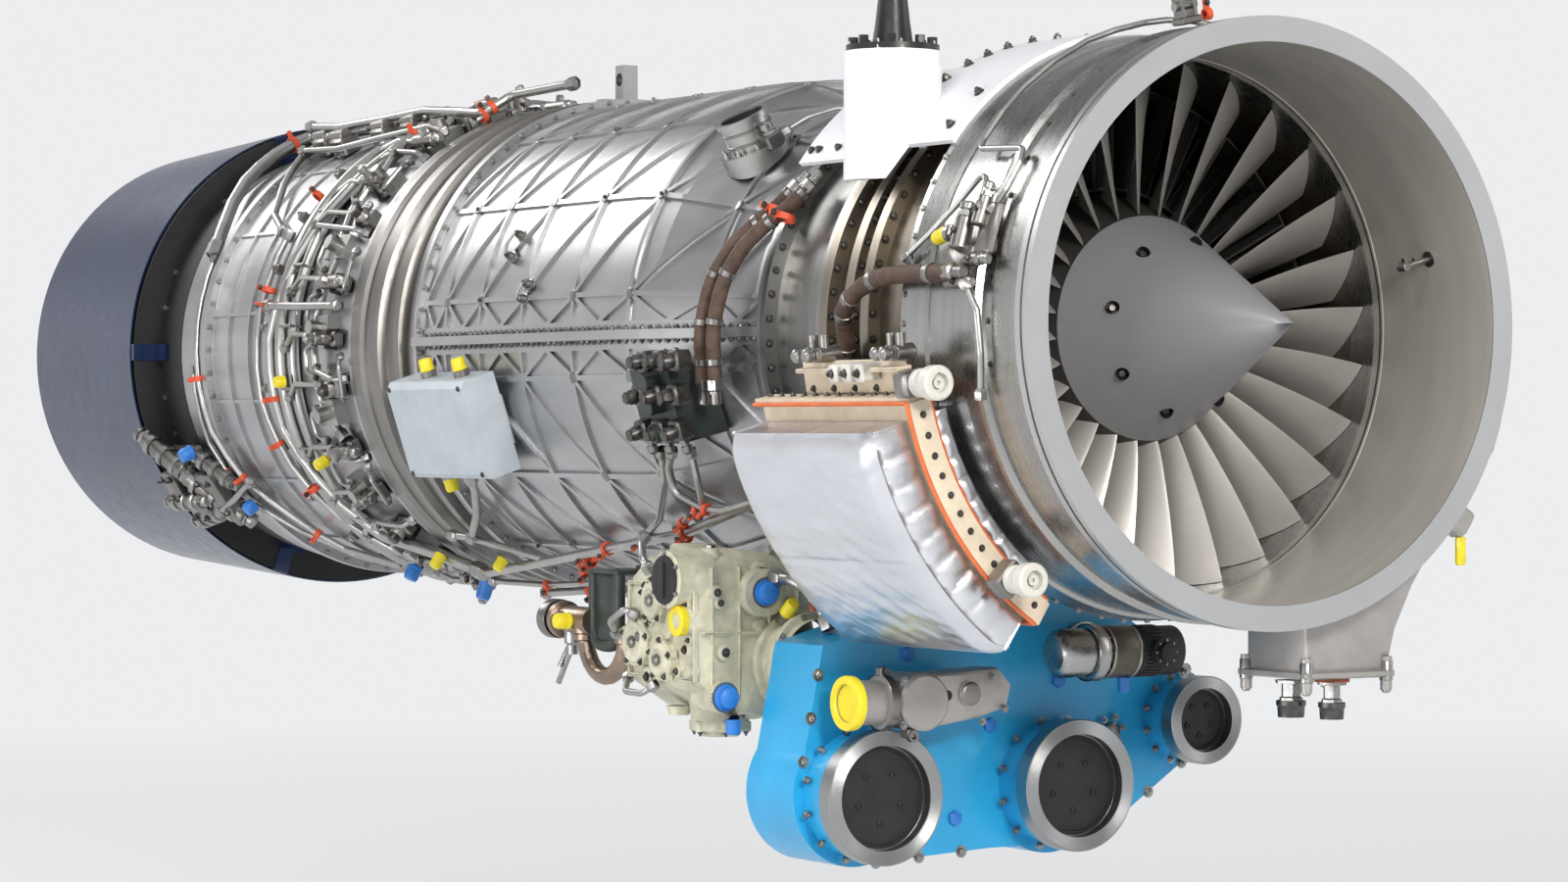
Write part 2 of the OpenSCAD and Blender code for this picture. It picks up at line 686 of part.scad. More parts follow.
// The low-pressure turbine disc and blades.
module fan_turbine() {
    color("darkgoldenrod") union() {
        blade_row(fan_turbine_y, 34, 176, turbine_tip - tip_gap, turbine_blades, 4);
        band(fan_turbine_y, fan_turbine_y + 34, 160, 180);
        band(fan_turbine_y + 10, fan_turbine_y + 24, fan_shaft_r + fit, 162);
        band(fan_turbine_y, fan_turbine_y + 34, fan_shaft_r + fit, fan_shaft_r + 16);
    }
}

// The compressor drum with its blades, front stub shaft and bevel gear.
core_bore_r = fan_shaft_r + 6;
module compressor_rotor() {
    color("lightslategray") union() {
        turned() polygon([
            [compressor_hub(compressor_front), compressor_front],
            [compressor_hub(compressor_rear - 6), compressor_rear - 6],
            [compressor_hub(compressor_rear - 6) - 8, compressor_rear - 6],
            [compressor_hub(compressor_front) - 8, compressor_front]
        ]);
        for (y = [compressor_front, compressor_rear - 16])
            band(y, y + 10, core_bore_r, compressor_hub(y) - 4);
        band(tower_y + bevel_d + 9, compressor_front + 1, core_bore_r, core_shaft_r);
        turned() polygon([
            [core_bore_r, tower_y + bevel_d], [bevel_k * bevel_d, tower_y + bevel_d],
            [bevel_k * (bevel_d + 10), tower_y + bevel_d + 10], [core_bore_r, tower_y + bevel_d + 10]
        ]);
        band(compressor_rear - 20, 1436, core_bore_r, core_shaft_r);
        for (s = [0:compressor_stages - 1]) {
            y = compressor_front + 4 + s * stage_pitch;
            chord = stage_pitch * 0.48;
            blade_row(
                y, chord, compressor_hub(y) - 4, compressor_tip(y + chord) - tip_gap,
                compressor_blades, blade_t
            );
        }
    }
}
bevel_k = 1.5;   // teeth of the shaft's gear over those of the tower's
bevel_d = 30;    // distance from the shafts' crossing to the gear's small end

// The high-pressure turbine disc and blades.
module core_turbine() {
    y = 1458;
    color("darkgoldenrod") union() {
        blade_row(y, 36, 176, turbine_tip - tip_gap, turbine_blades, 4);
        band(y, y + 36, 160, 180);
        band(y + 10, y + 26, core_bore_r, 162);
        band(1436, y + 36, core_bore_r, core_shaft_r + 8);
    }
}

// The tower shaft that takes power from the compressor shaft down to the gearbox.
module tower_shaft() {
    color("steelblue") union() {
        translate([0, tower_y, tower_bottom])
            cylinder(h = -tower_bottom - bevel_k * bevel_d - 1, r = tower_r);
        translate([0, tower_y, -bevel_k * (bevel_d + 10)])
            cylinder(h = bevel_k * 10, r1 = bevel_d + 10 - 2 * seat, r2 = bevel_d - 2 * seat);
    }
}

// The nozzle's sliding ring with the rollers that bear on the flaps.
ring_y = 2900;
ring_inner = 400;
ring_outer = 412;
roller_r = 6;
ring_t = 20;
module nozzle_ring() {
    color("dimgray") union() {
        band(ring_y - ring_t / 2, ring_y + ring_t / 2, ring_inner, ring_outer);
        for (i = [0:flap_count - 1]) clock(flap_angle(i), ring_y)
            translate([0, 0, ring_inner - 3])
                rotate([0, 90, 0]) cylinder(h = 16, r = roller_r, center = true);
    }
}

// Actuators: fixed cylinders on the jet pipe, and the rods that push the ring.
actuator_clocks = [-36, 108, 252];
actuator_r = 17;
actuator_rod_r = 8;
actuator_axis_r = duct_r + 12;
actuator_front = pipe_joint + 40;
actuator_rear = pipe_rear - 6;
module actuator_rods() {
    color("silver") for (a = actuator_clocks) clock(a)
        translate([0, actuator_rear - 120, actuator_axis_r]) rotate([-90, 0, 0])
            cylinder(h = ring_y - ring_t / 2 - actuator_rear + 120, r = actuator_rod_r);
}

module nozzle_actuators() {
    color("gray") for (a = actuator_clocks) clock(a) difference() {
        union() {
            translate([0, actuator_front, actuator_axis_r]) rotate([-90, 0, 0])
                cylinder(h = actuator_rear - actuator_front, r = actuator_r);
            for (y = [actuator_front + 8, actuator_rear - 34])
                translate([-actuator_r, y, duct_r - 60]) cube([2 * actuator_r, 24, 60 + 12]);
        }
        translate([0, actuator_rear - 200, actuator_axis_r]) rotate([-90, 0, 0])
            cylinder(h = 260, r = actuator_rod_r + fit);
        pipe_space();
    }
}

// One nozzle flap, drawn along its own plane from its hinge: plate, cam rib and knuckle.
flap_gap = 3;
cam_t = 10;
module flap_shape() {
    half = 180 / flap_count;
    front_half = (hinge_r - 12) * tan(half) - flap_gap;
    rear_half = (hinge_r - 12 - flap_len * sin(flap_closed)) * tan(half) - flap_gap;
    lug = 14;
    difference() {
        union() {
            translate([0, 0, -12 - flap_t]) linear_extrude(flap_t)
                polygon([
                    [-front_half, lug], [front_half, lug], [rear_half, flap_len], [-rear_half, flap_len]
                ]);
            translate([-cam_t / 2, 0, 0]) rotate([90, 0, 90]) linear_extrude(cam_t) polygon([
                [0, -14], [flap_len - 30, -14], [cam_rear + 8, cam_top], [cam_rear, cam_top],
                [cam_rear - cam_top - 4, -4], [0, -4]
            ]);
            rotate([0, 90, 0]) cylinder(h = knuckle_w, r = knuckle_r, center = true);
            translate([-knuckle_w / 2, 0, -12]) cube([knuckle_w, 26, 10]);
        }
        rotate([0, 90, 0]) cylinder(h = knuckle_w + 2, r = pin_r + fit, center = true);
    }
}
cam_rear = 62;    // where the cam's slope for the roller ends
cam_top = 42;
module nozzle_flap(i) {
    color("darkslategray") clock(flap_angle(i), hinge_y)
        translate([0, 0, hinge_r]) rotate([-flap_closed, 0, 0]) flap_shape();
}
module nozzle_flap_01() nozzle_flap(0);
module nozzle_flap_02() nozzle_flap(1);
module nozzle_flap_03() nozzle_flap(2);
module nozzle_flap_04() nozzle_flap(3);
module nozzle_flap_05() nozzle_flap(4);
module nozzle_flap_06() nozzle_flap(5);
module nozzle_flap_07() nozzle_flap(6);
module nozzle_flap_08() nozzle_flap(7);
module nozzle_flap_09() nozzle_flap(8);
module nozzle_flap_10() nozzle_flap(9);

// How much smaller than its pad's bore the seat of a black cover is.
cover_ledge = 2;

// Gearbox: three pads face forward, [x, z, outer radius, bore radius].
pads = [
    [-286, -648, pad_r, pad_bore_r],
    [43, -645, pad_r, pad_bore_r],
    [268, -560, small_pad_r, small_pad_bore_r]
];
gearbox_front = 580;
gearbox_rear = 706;
module gearbox_outline() {
    for (p = pads) translate([p[0], -p[1]]) circle(r = p[2] + 8);
    polygon([
        [-380, 640], [-340, 440], [-90, 372], [130, 372], [330, 520],
    [322, 600], [120, 735], [-60, 735], [-300, 748]
    ]);
    translate([0, 430]) circle(r = 92);
}
module gearbox() {
    color("deepskyblue") difference() {
        union() {
            translate([0, gearbox_front, 0]) rotate([-90, 0, 0]) linear_extrude(gearbox_rear - gearbox_front)
                gearbox_outline();
            for (p = pads) along_y(p[0], p[1], pad_station + pad_t, gearbox_front + 1, p[2] - 8);
            translate([0, tower_y, -380]) cylinder(h = 380 - boss_z, r = boss_r);
        }
        translate([0, tower_y, tower_bottom - 2]) cylinder(h = 600, r = tower_r + fit);
        translate([0, tower_y, -boss_z]) cylinder(h = boss_z, r = boss_r + seat);
        difference() {
            band(flange_c, duct_front + 30, 0, boss_z);
            translate([0, tower_y, -380]) cylinder(h = 380 - boss_z, r = boss_r);
        }
    }
}

module gearbox_pads() {
    color("silver") for (p = pads) difference() {
        along_y(p[0], p[1], pad_station, pad_station + pad_t, p[2]);
        along_y(p[0], p[1], pad_station - 1, pad_station + cover_depth, p[3]);
        along_y(p[0], p[1], pad_station, pad_station + pad_t + 1, p[3] - cover_ledge);
    }
}

// The black covers that close the pads.
module pad_covers() {
    color("black") for (p = pads)
        along_y(p[0], p[1], pad_station + cover_depth, pad_station + pad_t, p[3] - cover_ledge - seat);
}

// The starter in front of the gearbox, a drum that lies across the engine on its mounting neck.
starter_y = 500;
starter_z = -456;
module starter() {
    color("dimgray") union() {
        translate([10, starter_y, starter_z]) rotate([0, 90, 0]) cylinder(h = 212, r = 38);
        translate([-2, starter_y, starter_z]) rotate([0, 90, 0]) cylinder(h = 14, r = 34);
        for (x = [22, 118]) translate([x, starter_y, starter_z]) rotate([0, 90, 0]) cylinder(h = 14, r = 42);
        translate([221, starter_y, starter_z]) rotate([0, 90, 0]) cylinder(h = 10, r = 24);
        along_y(110, starter_z, starter_y, gearbox_front, 32);
    }
}

// The grey air pipe of the starter: an open mouth at the side, a bent body and a short neck.
elbow_y = 500;
elbow_z = -515;
elbow_bore_r = 26;
module bleed_elbow() {
    body_r = 34;
    color("gray") difference() {
        union() {
            translate([-352, elbow_y, elbow_z]) rotate([0, 90, 0]) cylinder(h = 12, r = body_r + 3);
            translate([-341, elbow_y, elbow_z]) rotate([0, 90, 0]) cylinder(h = 100, r = body_r - 3);
            translate([-300, elbow_y, elbow_z]) rotate([0, 90, 0]) cylinder(h = 12, r = body_r + 4);
            along_y(-245, elbow_z, elbow_y - body_r - 2, elbow_y + body_r + 2, body_r + 6);
            translate([-245, elbow_y, elbow_z]) rotate([0, 90, 0]) cylinder(h = 150, r = body_r - 6);
            translate([-110, elbow_y, elbow_z]) rotate([0, 90, 0]) cylinder(h = 14, r = body_r);
            along_y(-200, elbow_z, elbow_y, gearbox_front, body_r - 8);
        }
        translate([-353, elbow_y, elbow_z]) rotate([0, 90, 0]) cylinder(h = 80, r = elbow_bore_r);
    }
}

// The cast fuel control behind the gearbox.
module fuel_control() {
    color("beige") difference() {
        union() {
            translate([-455, 730, -560]) cube([230, 200, 190]);
            along_y(-330, -470, gearbox_rear, 740, 70);
            along_y(-400, -420, 920, 990, 52);
            along_y(-290, -500, 920, 960, 60);
            translate([-389, 850, -380]) cylinder(h = 34, r = 46);
            translate([-450, 790, -470]) rotate([0, -90, 0]) cylinder(h = 26, r = 50);
        }
        translate([-389, 850, -366]) cylinder(h = 40, r = 36);
    }
}

// The insulated control box under the fan case's side: two shells joined on a bolted frame.
box_front = 205;
box_rear = 560;
box_mid_r = 452;
box_outer_r = 535;
box_frame_t = 12;
box_high = -16;
box_low = -56;
module control_box() {
    color("lightgray") {
        sector(box_front, box_rear, case_flange_r + seat, box_mid_r - box_frame_t / 2, box_low, box_high);
        sector(box_front, box_rear, box_mid_r + box_frame_t / 2, box_outer_r, box_low, box_high);
    }
}
module control_box_frame() {
    color("wheat") sector(
        box_front - 12, box_rear + 8, box_mid_r - box_frame_t / 2, box_mid_r + box_frame_t / 2,
        box_low - 1, box_high + 3
    );
}

// The light grey box on the duct's side, on its mounting plate.
module grey_box() {
    box_w = 160;
    box_l = 260;
    box_h = 62;
    edge = 10;
    floor_r = duct_r + rib_h + seat;
    color("lightblue") clock(-18, 1560 - box_l / 2) {
        translate([0, box_l, floor_r + 8]) rotate([90, 0, 0]) linear_extrude(box_l) polygon([
            [-box_w / 2, 0], [box_w / 2, 0], [box_w / 2, box_h - edge], [box_w / 2 - edge, box_h],
            [edge - box_w / 2, box_h], [-box_w / 2, box_h - edge]
        ]);
        translate([-40, 10, floor_r]) cube([80, box_l - 20, 8]);
    }
}

// The dark valve block on the duct's side.
module valve_block() {
    color("darkslategray") difference() {
        union() {
            clock(-14, 930) translate([-60, -60, duct_r - 60]) cube([110, 110, 90]);
            for (x = [-40, 0, 36]) clock(-14, 930) translate([x, -20, duct_r + 28]) cylinder(h = 26, r = 14);
        }
        turned() polygon(concat([[0, duct_front]], flare_line(0, duct_rear, rib_h + seat), [[0, duct_rear]]));
    }
}

// The white hanger: a saddle bent round the case with a post welded on it.
saddle_r = case_flange_r + seat;
saddle_t = 7;
post_x = -308;
post_y = 455;
module hanger_bracket() {
    color("white") union() {
        sector(case_rear - 8, 470, saddle_r, saddle_r + saddle_t, 37, 128);
        sector(460, 655, saddle_r, saddle_r + saddle_t, 35, 62);
        difference() {
            translate([post_x, post_y, 200]) cylinder(h = post_top - 200, r = post_r);
            band(200, 800, 0, saddle_r + saddle_t / 2);
            translate([post_x, post_y, post_top - 12]) cylinder(h = 40, r = post_r - 14);
        }
        for (t = [44, 62, 98, 118]) difference() {
            clock(t, flange_a) translate([-6, 1, 300])
                cube([12, 2 * flange_t - 2, saddle_r + saddle_t / 2 - 300]);
            band(flange_a, flange_a + 2 * flange_t, 0, path_at(flange_a) + flange_h + seat);
        }
    }
}

// The black flange, studs and tapered rod that the engine hangs from.
module hanger_rod() {
    color("black") translate([post_x, post_y, post_top]) union() {
        cylinder(h = 9, r = post_r - 3);
        cylinder(h = 40, r1 = 30, r2 = 24);
        translate([0, 0, 39]) cylinder(h = 90, r1 = 24, r2 = rod_end_r);
        translate([0, 0, 128]) cylinder(h = 52, r = rod_end_r);
        for (i = [0:7]) rotate(i * 45 + 10) translate([post_r - 13, 0, 8]) cylinder(h = 12, r = 7, $fn = 6);
    }
}

// The rear mounting lug on top of the duct's rear flange.
lug_y = duct_rear + flange_t + 12;
lug_hole_r = 11;
lug_z = duct_r + 50;
module aft_lug() {
    color("silver") difference() {
        union() {
            translate([-14, lug_y - 10, duct_r]) cube([28, 26, 74]);
            translate([-50, lug_y - 10, duct_r - 10]) cube([100, 26, 26]);
        }
        translate([-30, lug_y + 3, lug_z]) rotate([0, 90, 0]) cylinder(h = 60, r = lug_hole_r);
        band(duct_rear, 1762, 0, duct_r + seat);
    }
}

// The open bleed port on the duct's shoulder, which leans up from the skin.
bleed_clock = 48;
bleed_lean = 62;             // the clock angle at which the port points
bleed_y = 920;
bleed_bore_r = 33;
bleed_step = 3;              // how much smaller the passage below the port's bore is
bleed_depth = 42;            // depth of the port's bore, which ends above the duct's ribs
bleed_height = 62;           // from the duct's skin to the mouth
bleed_sink = 70;             // how far the port reaches below the duct's skin
bleed_foot = 14;             // height of the round foot over the skin
module bleed_place() clock(bleed_clock, bleed_y) translate([0, 0, duct_at(bleed_y)])
    rotate([0, bleed_lean - bleed_clock, 0]) children();

module bleed_port() {
    color("silver") difference() {
        bleed_place() union() {
            translate([0, 0, -bleed_sink]) cylinder(h = bleed_sink + bleed_height - 2, r = bleed_bore_r + 4);
            translate([0, 0, bleed_height - 8]) cylinder(h = 8, r = bleed_bore_r + 8);
            translate([0, 0, -bleed_sink]) cylinder(h = bleed_sink + bleed_foot, r = bleed_bore_r + 22);
        }
        bleed_place() {
            translate([0, 0, bleed_height - bleed_depth]) cylinder(h = bleed_depth + 1, r = bleed_bore_r);
            translate([0, 0, -bleed_sink - 1])
                cylinder(h = bleed_sink + bleed_height, r = bleed_bore_r - bleed_step);
        }
        turned() polygon(concat([[0, duct_front]], flare_line(0, duct_rear, rib_h + seat), [[0, duct_rear]]));
    }
}

// The point at clock angle t, station y and radius r.
function spot(t, y, r) = [-r * cos(t), y, r * sin(t)];

// A hose or bent pipe of radius r, swept through a list of points that lie round the engine's axis.
function unit(v) = v / norm(v);
function bend_at(points, i) = unit(points[min(i + 1, len(points) - 1)] - points[max(i - 1, 0)]);
function hoop(p, d, r, n) = let (
        away = [p[0], 0, p[2]],
        u = unit(away - d * (away * d)),
        w = cross(d, u)
    ) [for (k = [0:n - 1]) p + r * (cos(360 * k / n) * u + sin(360 * k / n) * w)];
module swept(points, r, n = 10) {
    last = len(points) - 1;
    polyhedron(
        [for (i = [0:last]) each hoop(points[i], bend_at(points, i), r, n)],
        concat(
            [for (i = [0:last - 1]) for (k = [0:n - 1]) let (a = i * n + k, b = i * n + (k + 1) % n)
                each [[a + n, b + n, b], [a + n, b, a]]],
            [for (k = [1:n - 2]) each [[0, k, k + 1], [last * n, last * n + k + 1, last * n + k]]]
        )
    );
}

// The sleeved hoses along the fan case and round the duct's front.
hose_r = 11;
hose_gap = 34;   // between the two hoses that run side by side
module hoses() {
    color("saddlebrown") {
        for (d = [0, hose_gap]) swept([
            spot(34, 690 + d, 360), spot(29, 706 + d, 364), spot(24, 738 + d, 370), spot(18, 772 + d, 376),
            spot(10, 796 + d, 380), spot(0, 808 + d, 382), spot(-11, 812 + d, 384)
        ], hose_r);
        swept([
            spot(-6, 462, 378), spot(-3, 452, 384), spot(1, 440, 396), spot(4, 412, 410), spot(7, 360, 420),
            spot(8.6, 290, 424), spot(8.6, 150, 424)
        ], hose_r + 1);
    }
}

// Pipes that run round the afterburner case.
module aft_pipes() {
    color("silver") for (p = [[2185, 10], [2225, 13], [2262, 7]]) translate([0, p[0], 0])
        rotate([-90, 0, 0]) rotate_extrude()
            translate([duct_r - 3 + seat + p[1], 0]) circle(r = p[1], $fn = 24);
}

// The ring of valves and unions ahead of the pipes.
module pipe_valves() {
    color("darkgray") difference() {
        for (i = [0:17]) clock(i * 20 + 4, 2060) {
            translate([-22, -34, duct_r - 20]) cube([44, 68, 40]);
            translate([0, 0, duct_r + 10]) cylinder(h = 30, r = 13);
        }
        band(1900, 2200, 0, duct_r - 3 + seat);
    }
}

front_ring();
fan_case();
fan_case_rear();
front_frame();
duct_upper();
duct_lower();
aft_ring();
afterburner_case();
jet_pipe();
rear_shroud();
fan_vanes();
compressor_case();
combustor_case();
combustor_liner();
turbine_case();
rear_frame();
exhaust_cone();
mixer();
reheat_burner();
jet_pipe_liner();
bearings();
spinner();
fan_blades();
fan_drum();
fan_shaft();
fan_turbine();
compressor_rotor();
core_turbine();
tower_shaft();
nozzle_ring();
actuator_rods();
nozzle_actuators();
nozzle_flap_01();
nozzle_flap_02();
nozzle_flap_03();
nozzle_flap_04();
nozzle_flap_05();
nozzle_flap_06();
nozzle_flap_07();
nozzle_flap_08();
nozzle_flap_09();
nozzle_flap_10();
gearbox();
gearbox_pads();
pad_covers();
starter();
bleed_elbow();
fuel_control();
control_box();
control_box_frame();
grey_box();
valve_block();
hanger_bracket();
hanger_rod();
aft_lug();
bleed_port();
hoses();
aft_pipes();
pipe_valves();
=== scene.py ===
import json
import math
import random

import bpy
from mathutils import Matrix, Vector


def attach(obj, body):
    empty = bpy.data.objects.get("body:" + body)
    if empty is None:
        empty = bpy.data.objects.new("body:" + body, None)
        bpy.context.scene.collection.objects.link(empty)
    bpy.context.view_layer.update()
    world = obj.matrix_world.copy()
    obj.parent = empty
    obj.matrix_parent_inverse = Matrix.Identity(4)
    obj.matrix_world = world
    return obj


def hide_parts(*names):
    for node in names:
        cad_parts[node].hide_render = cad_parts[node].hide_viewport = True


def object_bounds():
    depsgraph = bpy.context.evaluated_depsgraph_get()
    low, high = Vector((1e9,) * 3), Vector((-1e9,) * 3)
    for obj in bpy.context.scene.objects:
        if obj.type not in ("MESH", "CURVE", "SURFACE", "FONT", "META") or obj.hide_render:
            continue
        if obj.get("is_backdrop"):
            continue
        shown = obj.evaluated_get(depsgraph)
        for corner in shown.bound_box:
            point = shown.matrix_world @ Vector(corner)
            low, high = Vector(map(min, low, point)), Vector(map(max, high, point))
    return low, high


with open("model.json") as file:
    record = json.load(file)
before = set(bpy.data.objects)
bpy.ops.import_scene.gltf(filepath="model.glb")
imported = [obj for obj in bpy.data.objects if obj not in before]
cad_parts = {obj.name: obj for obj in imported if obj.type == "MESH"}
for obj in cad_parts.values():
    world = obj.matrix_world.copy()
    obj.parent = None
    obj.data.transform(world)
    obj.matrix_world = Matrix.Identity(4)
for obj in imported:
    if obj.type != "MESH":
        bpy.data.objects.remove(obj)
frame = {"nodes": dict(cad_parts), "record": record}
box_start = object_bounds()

rnd = random.Random(11)
NODES = frame["nodes"]
MM = 0.001


# Places round the engine: clock angle 0 is the -X side, 90 is the top.
def out(t):
    a = math.radians(t)
    return Vector((-math.cos(a), 0, math.sin(a)))


def along(t):
    a = math.radians(t)
    return Vector((math.sin(a), 0, math.cos(a)))


def spot(t, y, r):
    """The point at clock angle t, station y and radius r, in mm."""
    return out(t) * r + Vector((0, y, 0))


AFT = Vector((0, 1, 0))
FORE = Vector((0, -1, 0))
RIGHT = Vector((1, 0, 0))
LEFT = Vector((-1, 0, 0))
UP = Vector((0, 0, 1))
DOWN = Vector((0, 0, -1))

# Radius of the ribbed duct where it starts, and the rise of its flare.
DUCT_FRONT, FLARE_LENGTH = 744, 350
DUCT_FRONT_R, FLARE_RISE = 322, 71
# Station and radius of the flow path's outer wall and of the fan's hub.
PATH = ((0, 370), (256, 370), (358, 350), (436, 332), (577, 320), (744, 310))
HUB = ((284, 154), (368, 184), (486, 206), (585, 214), (744, 180))
# Radius of the afterburner case under its pipes.
CASE = 390.0


def duct_r(y):
    f = min(1, max(0, (y - DUCT_FRONT) / FLARE_LENGTH))
    return DUCT_FRONT_R + FLARE_RISE * f * f * (3 - 2 * f)


def lookup(table, y):
    """The radius at station y, on straight lines between the table's points."""
    if y <= table[0][0]:
        return table[0][1]
    for (a, ra), (b, rb) in zip(table, table[1:]):
        if y <= b:
            return ra + (rb - ra) * (y - a) / (b - a)
    return table[-1][1]


def hoop(y, r, n, way=1):
    """A ring of n points at station y; way -1 runs it the other way, which turns the skin's faces over."""
    return [spot(way * 360 * k / n, y, r) for k in range(n)]


def between(a, b, n):
    """The n + 1 numbers from a to b in even steps."""
    return [a + (b - a) * k / n for k in range(n + 1)]


def circle(count, start=0.0, r=1.0):
    """Equal places on a circle of radius r, the first at the angle start, as pairs of offsets."""
    for k in range(count):
        a = math.radians(360 / count * k + start)
        yield r * math.cos(a), r * math.sin(a)


def basis(z, x=None):
    """Three unit vectors at right angles, the last along z and the first near x."""
    z = z.normalized()
    x = x or (UP if abs(z.z) < 0.9 else RIGHT)
    x = (x - z * x.dot(z)).normalized()
    return x, z.cross(x), z


# Meshes gathered in bags, one object for each.
class Bag:
    """Collects mesh parts in mm and makes one object of them in metres."""

    def __init__(self, name, mat, body="engine", slot=None):
        self.name, self.mat, self.body, self.slot = name, mat, body, slot
        self.v, self.f = [], []

    def ring_skin(self, rings, closed=True):
        """Skins a list of rings of points; a ring may be one point."""
        starts = []
        for ring in rings:
            starts.append(len(self.v))
            self.v.extend(ring)
        for a, b, i, j in zip(rings, rings[1:], starts, starts[1:]):
            n = max(len(a), len(b))
            for k in range(n if closed else n - 1):
                m = (k + 1) % n
                if len(a) == 1:
                    self.f.append((i, j + k, j + m))
                elif len(b) == 1:
                    self.f.append((i + k, j, i + m))
                else:
                    self.f.append((i + k, j + k, j + m, i + m))

    def lathe(self, at, axis, profile, n=16, spin=0.0):
        """Revolves [(radius, height)] about an axis through at."""
        u, w, z = basis(axis)
        rings = []
        for r, h in profile:
            c = at + z * h
            if r <= 1e-6:
                rings.append([c])
            else:
                turns = [math.radians(spin) + 2 * math.pi * k / n for k in range(n)]
                rings.append([c + (u * math.cos(q) + w * math.sin(q)) * r for q in turns])
        self.ring_skin(rings)

    def rod(self, a, b, r, n=16, r2=None, lip=0.0):
        """A round rod from a to b, tapered where r2 is given, with its ends chamfered by lip."""
        h = (b - a).length
        r2 = r if r2 is None else r2
        self.lathe(a, b - a, [(0, 0), (max(r - lip, 0.01), 0), (r, lip), (r2, h - lip),
                              (max(r2 - lip, 0.01), h), (0, h)], n)

    def bolt(self, at, axis, r=5.0, h=4.0, stud=0.0, washer=True):
        """A hex head or nut on its washer, with the stud's end when it has one."""
        q = rnd.uniform(0, 60)
        if washer:
            self.lathe(at, axis, [(r * 1.35, 0), (r * 1.35, 1.0), (0, 1.0)], 12)
        self.lathe(at, axis, [(r, 0.8), (r, h * 0.82), (r * 0.84, h), (0, h)], 6, spin=q)
        if stud:
            self.lathe(at, axis, [(r * 0.5, h - 0.5), (r * 0.5, h + stud - 0.8), (r * 0.36, h + stud),
                                  (0, h + stud)], 8)

    def block(self, at, x, z, size, bevel=1.5):
        """A box centred on at, with its edges chamfered."""
        u, w, n = basis(z, x)
        hx, hy, hz = (s / 2 for s in size)
        b = min(bevel, hx * 0.6, hy * 0.6, hz * 0.6)

        def loop(ix, iy, h):
            pts = [(ix, iy - b), (ix - b, iy), (b - ix, iy), (-ix, iy - b), (-ix, b - iy), (b - ix, -iy),
                   (ix - b, -iy), (ix, b - iy)]
            return [at + u * p + w * q + n * h for p, q in pts]

        rings = [[at + n * -hz], loop(hx - b, hy - b, -hz), loop(hx, hy, b - hz), loop(hx, hy, hz - b),
                 loop(hx - b, hy - b, hz), [at + n * hz]]
        self.ring_skin(rings)

    def tube(self, pts, r, n=8, bend=None, steps=4, sizes=None):
        """Sweeps a circle along a path whose corners are rounded by the bend radius."""
        path = round_path(pts, bend if bend is not None else r * 3, steps)
        rings = []
        up = None
        total = len(path)
        for i, p in enumerate(path):
            d = (path[min(i + 1, total - 1)] - path[max(i - 1, 0)])
            if d.length < 1e-6:
                continue
            d.normalize()
            up = d.orthogonal() if up is None else up - d * up.dot(d)
            if up.length < 1e-6:
                up = d.orthogonal()
            up.normalize()
            side = d.cross(up)
            rr = r if sizes is None else r * sizes(i / (total - 1))
            turns = [2 * math.pi * k / n for k in range(n)]
            rings.append([p + (up * math.cos(q) + side * math.sin(q)) * rr for q in turns])
        self.ring_skin([[path[0]]] + rings + [[path[-1]]])
        return path

    def plate(self, loop, normal, thick):
        """A flat plate from a loop of points, thickened along the normal."""
        k = len(loop)
        i = len(self.v)
        self.v.extend(loop)
        self.v.extend(p + normal * thick for p in loop)
        self.f.append(tuple(range(i + k - 1, i - 1, -1)))
        self.f.append(tuple(range(i + k, i + 2 * k)))
        for a in range(k):
            b = (a + 1) % k
            self.f.append((i + a, i + b, i + k + b, i + k + a))

    def done(self, angle=38, replaces=()):
        """Makes the object, with its body and the nodes that it replaces."""
        mesh = bpy.data.meshes.new(self.name)
        mesh.from_pydata([p * MM for p in self.v], [], self.f)
        mesh.validate()
        mesh.update()
        mesh.materials.append(self.mat)
        mesh.shade_smooth()
        mesh.set_sharp_from_angle(angle=math.radians(angle))
        o = bpy.data.objects.new(self.name, mesh)
        bpy.context.scene.collection.objects.link(o)
        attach(o, self.body)
        if replaces:
            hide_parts(*replaces)
        return o


def round_path(pts, bend, steps):
    """The path with each corner rounded by the bend radius, as far as its two sides have room."""
    if len(pts) < 3:
        return list(pts)
    res = [pts[0]]
    for a, p, b in zip(pts, pts[1:], pts[2:]):
        da, db = a - p, b - p
        la, lb = da.length, db.length
        if la < 1e-6 or lb < 1e-6:
            continue
        da, db = da / la, db / lb
        cosine = max(-1.0, min(1.0, da.dot(db)))
        half = math.acos(cosine) / 2
        if half > math.radians(88):
            res.append(p)
            continue
        cut = min(bend / max(math.tan(half), 1e-3), la * 0.48, lb * 0.48)
        s, e = p + da * cut, p + db * cut
        for k in range(steps + 1):
            f = k / steps
            res.append((s * (1 - f) + p * f) * (1 - f) + (p * (1 - f) + e * f) * f)
    res.append(pts[-1])
    return res


def smooth_path(pts, steps=8):
    """A Catmull-Rom curve through the points."""
    ext = [pts[0] * 2 - pts[1]] + list(pts) + [pts[-1] * 2 - pts[-2]]
    res = []
    for p0, p1, p2, p3 in zip(ext, ext[1:], ext[2:], ext[3:]):
        for k in range(steps):
            t = k / steps
            cubic = (3 * p1 - p0 - 3 * p2 + p3) * t ** 3
            res.append(0.5 * ((2 * p1) + (p2 - p0) * t + (2 * p0 - 5 * p1 + 4 * p2 - p3) * t * t + cubic))
    res.append(pts[-1])
    return res


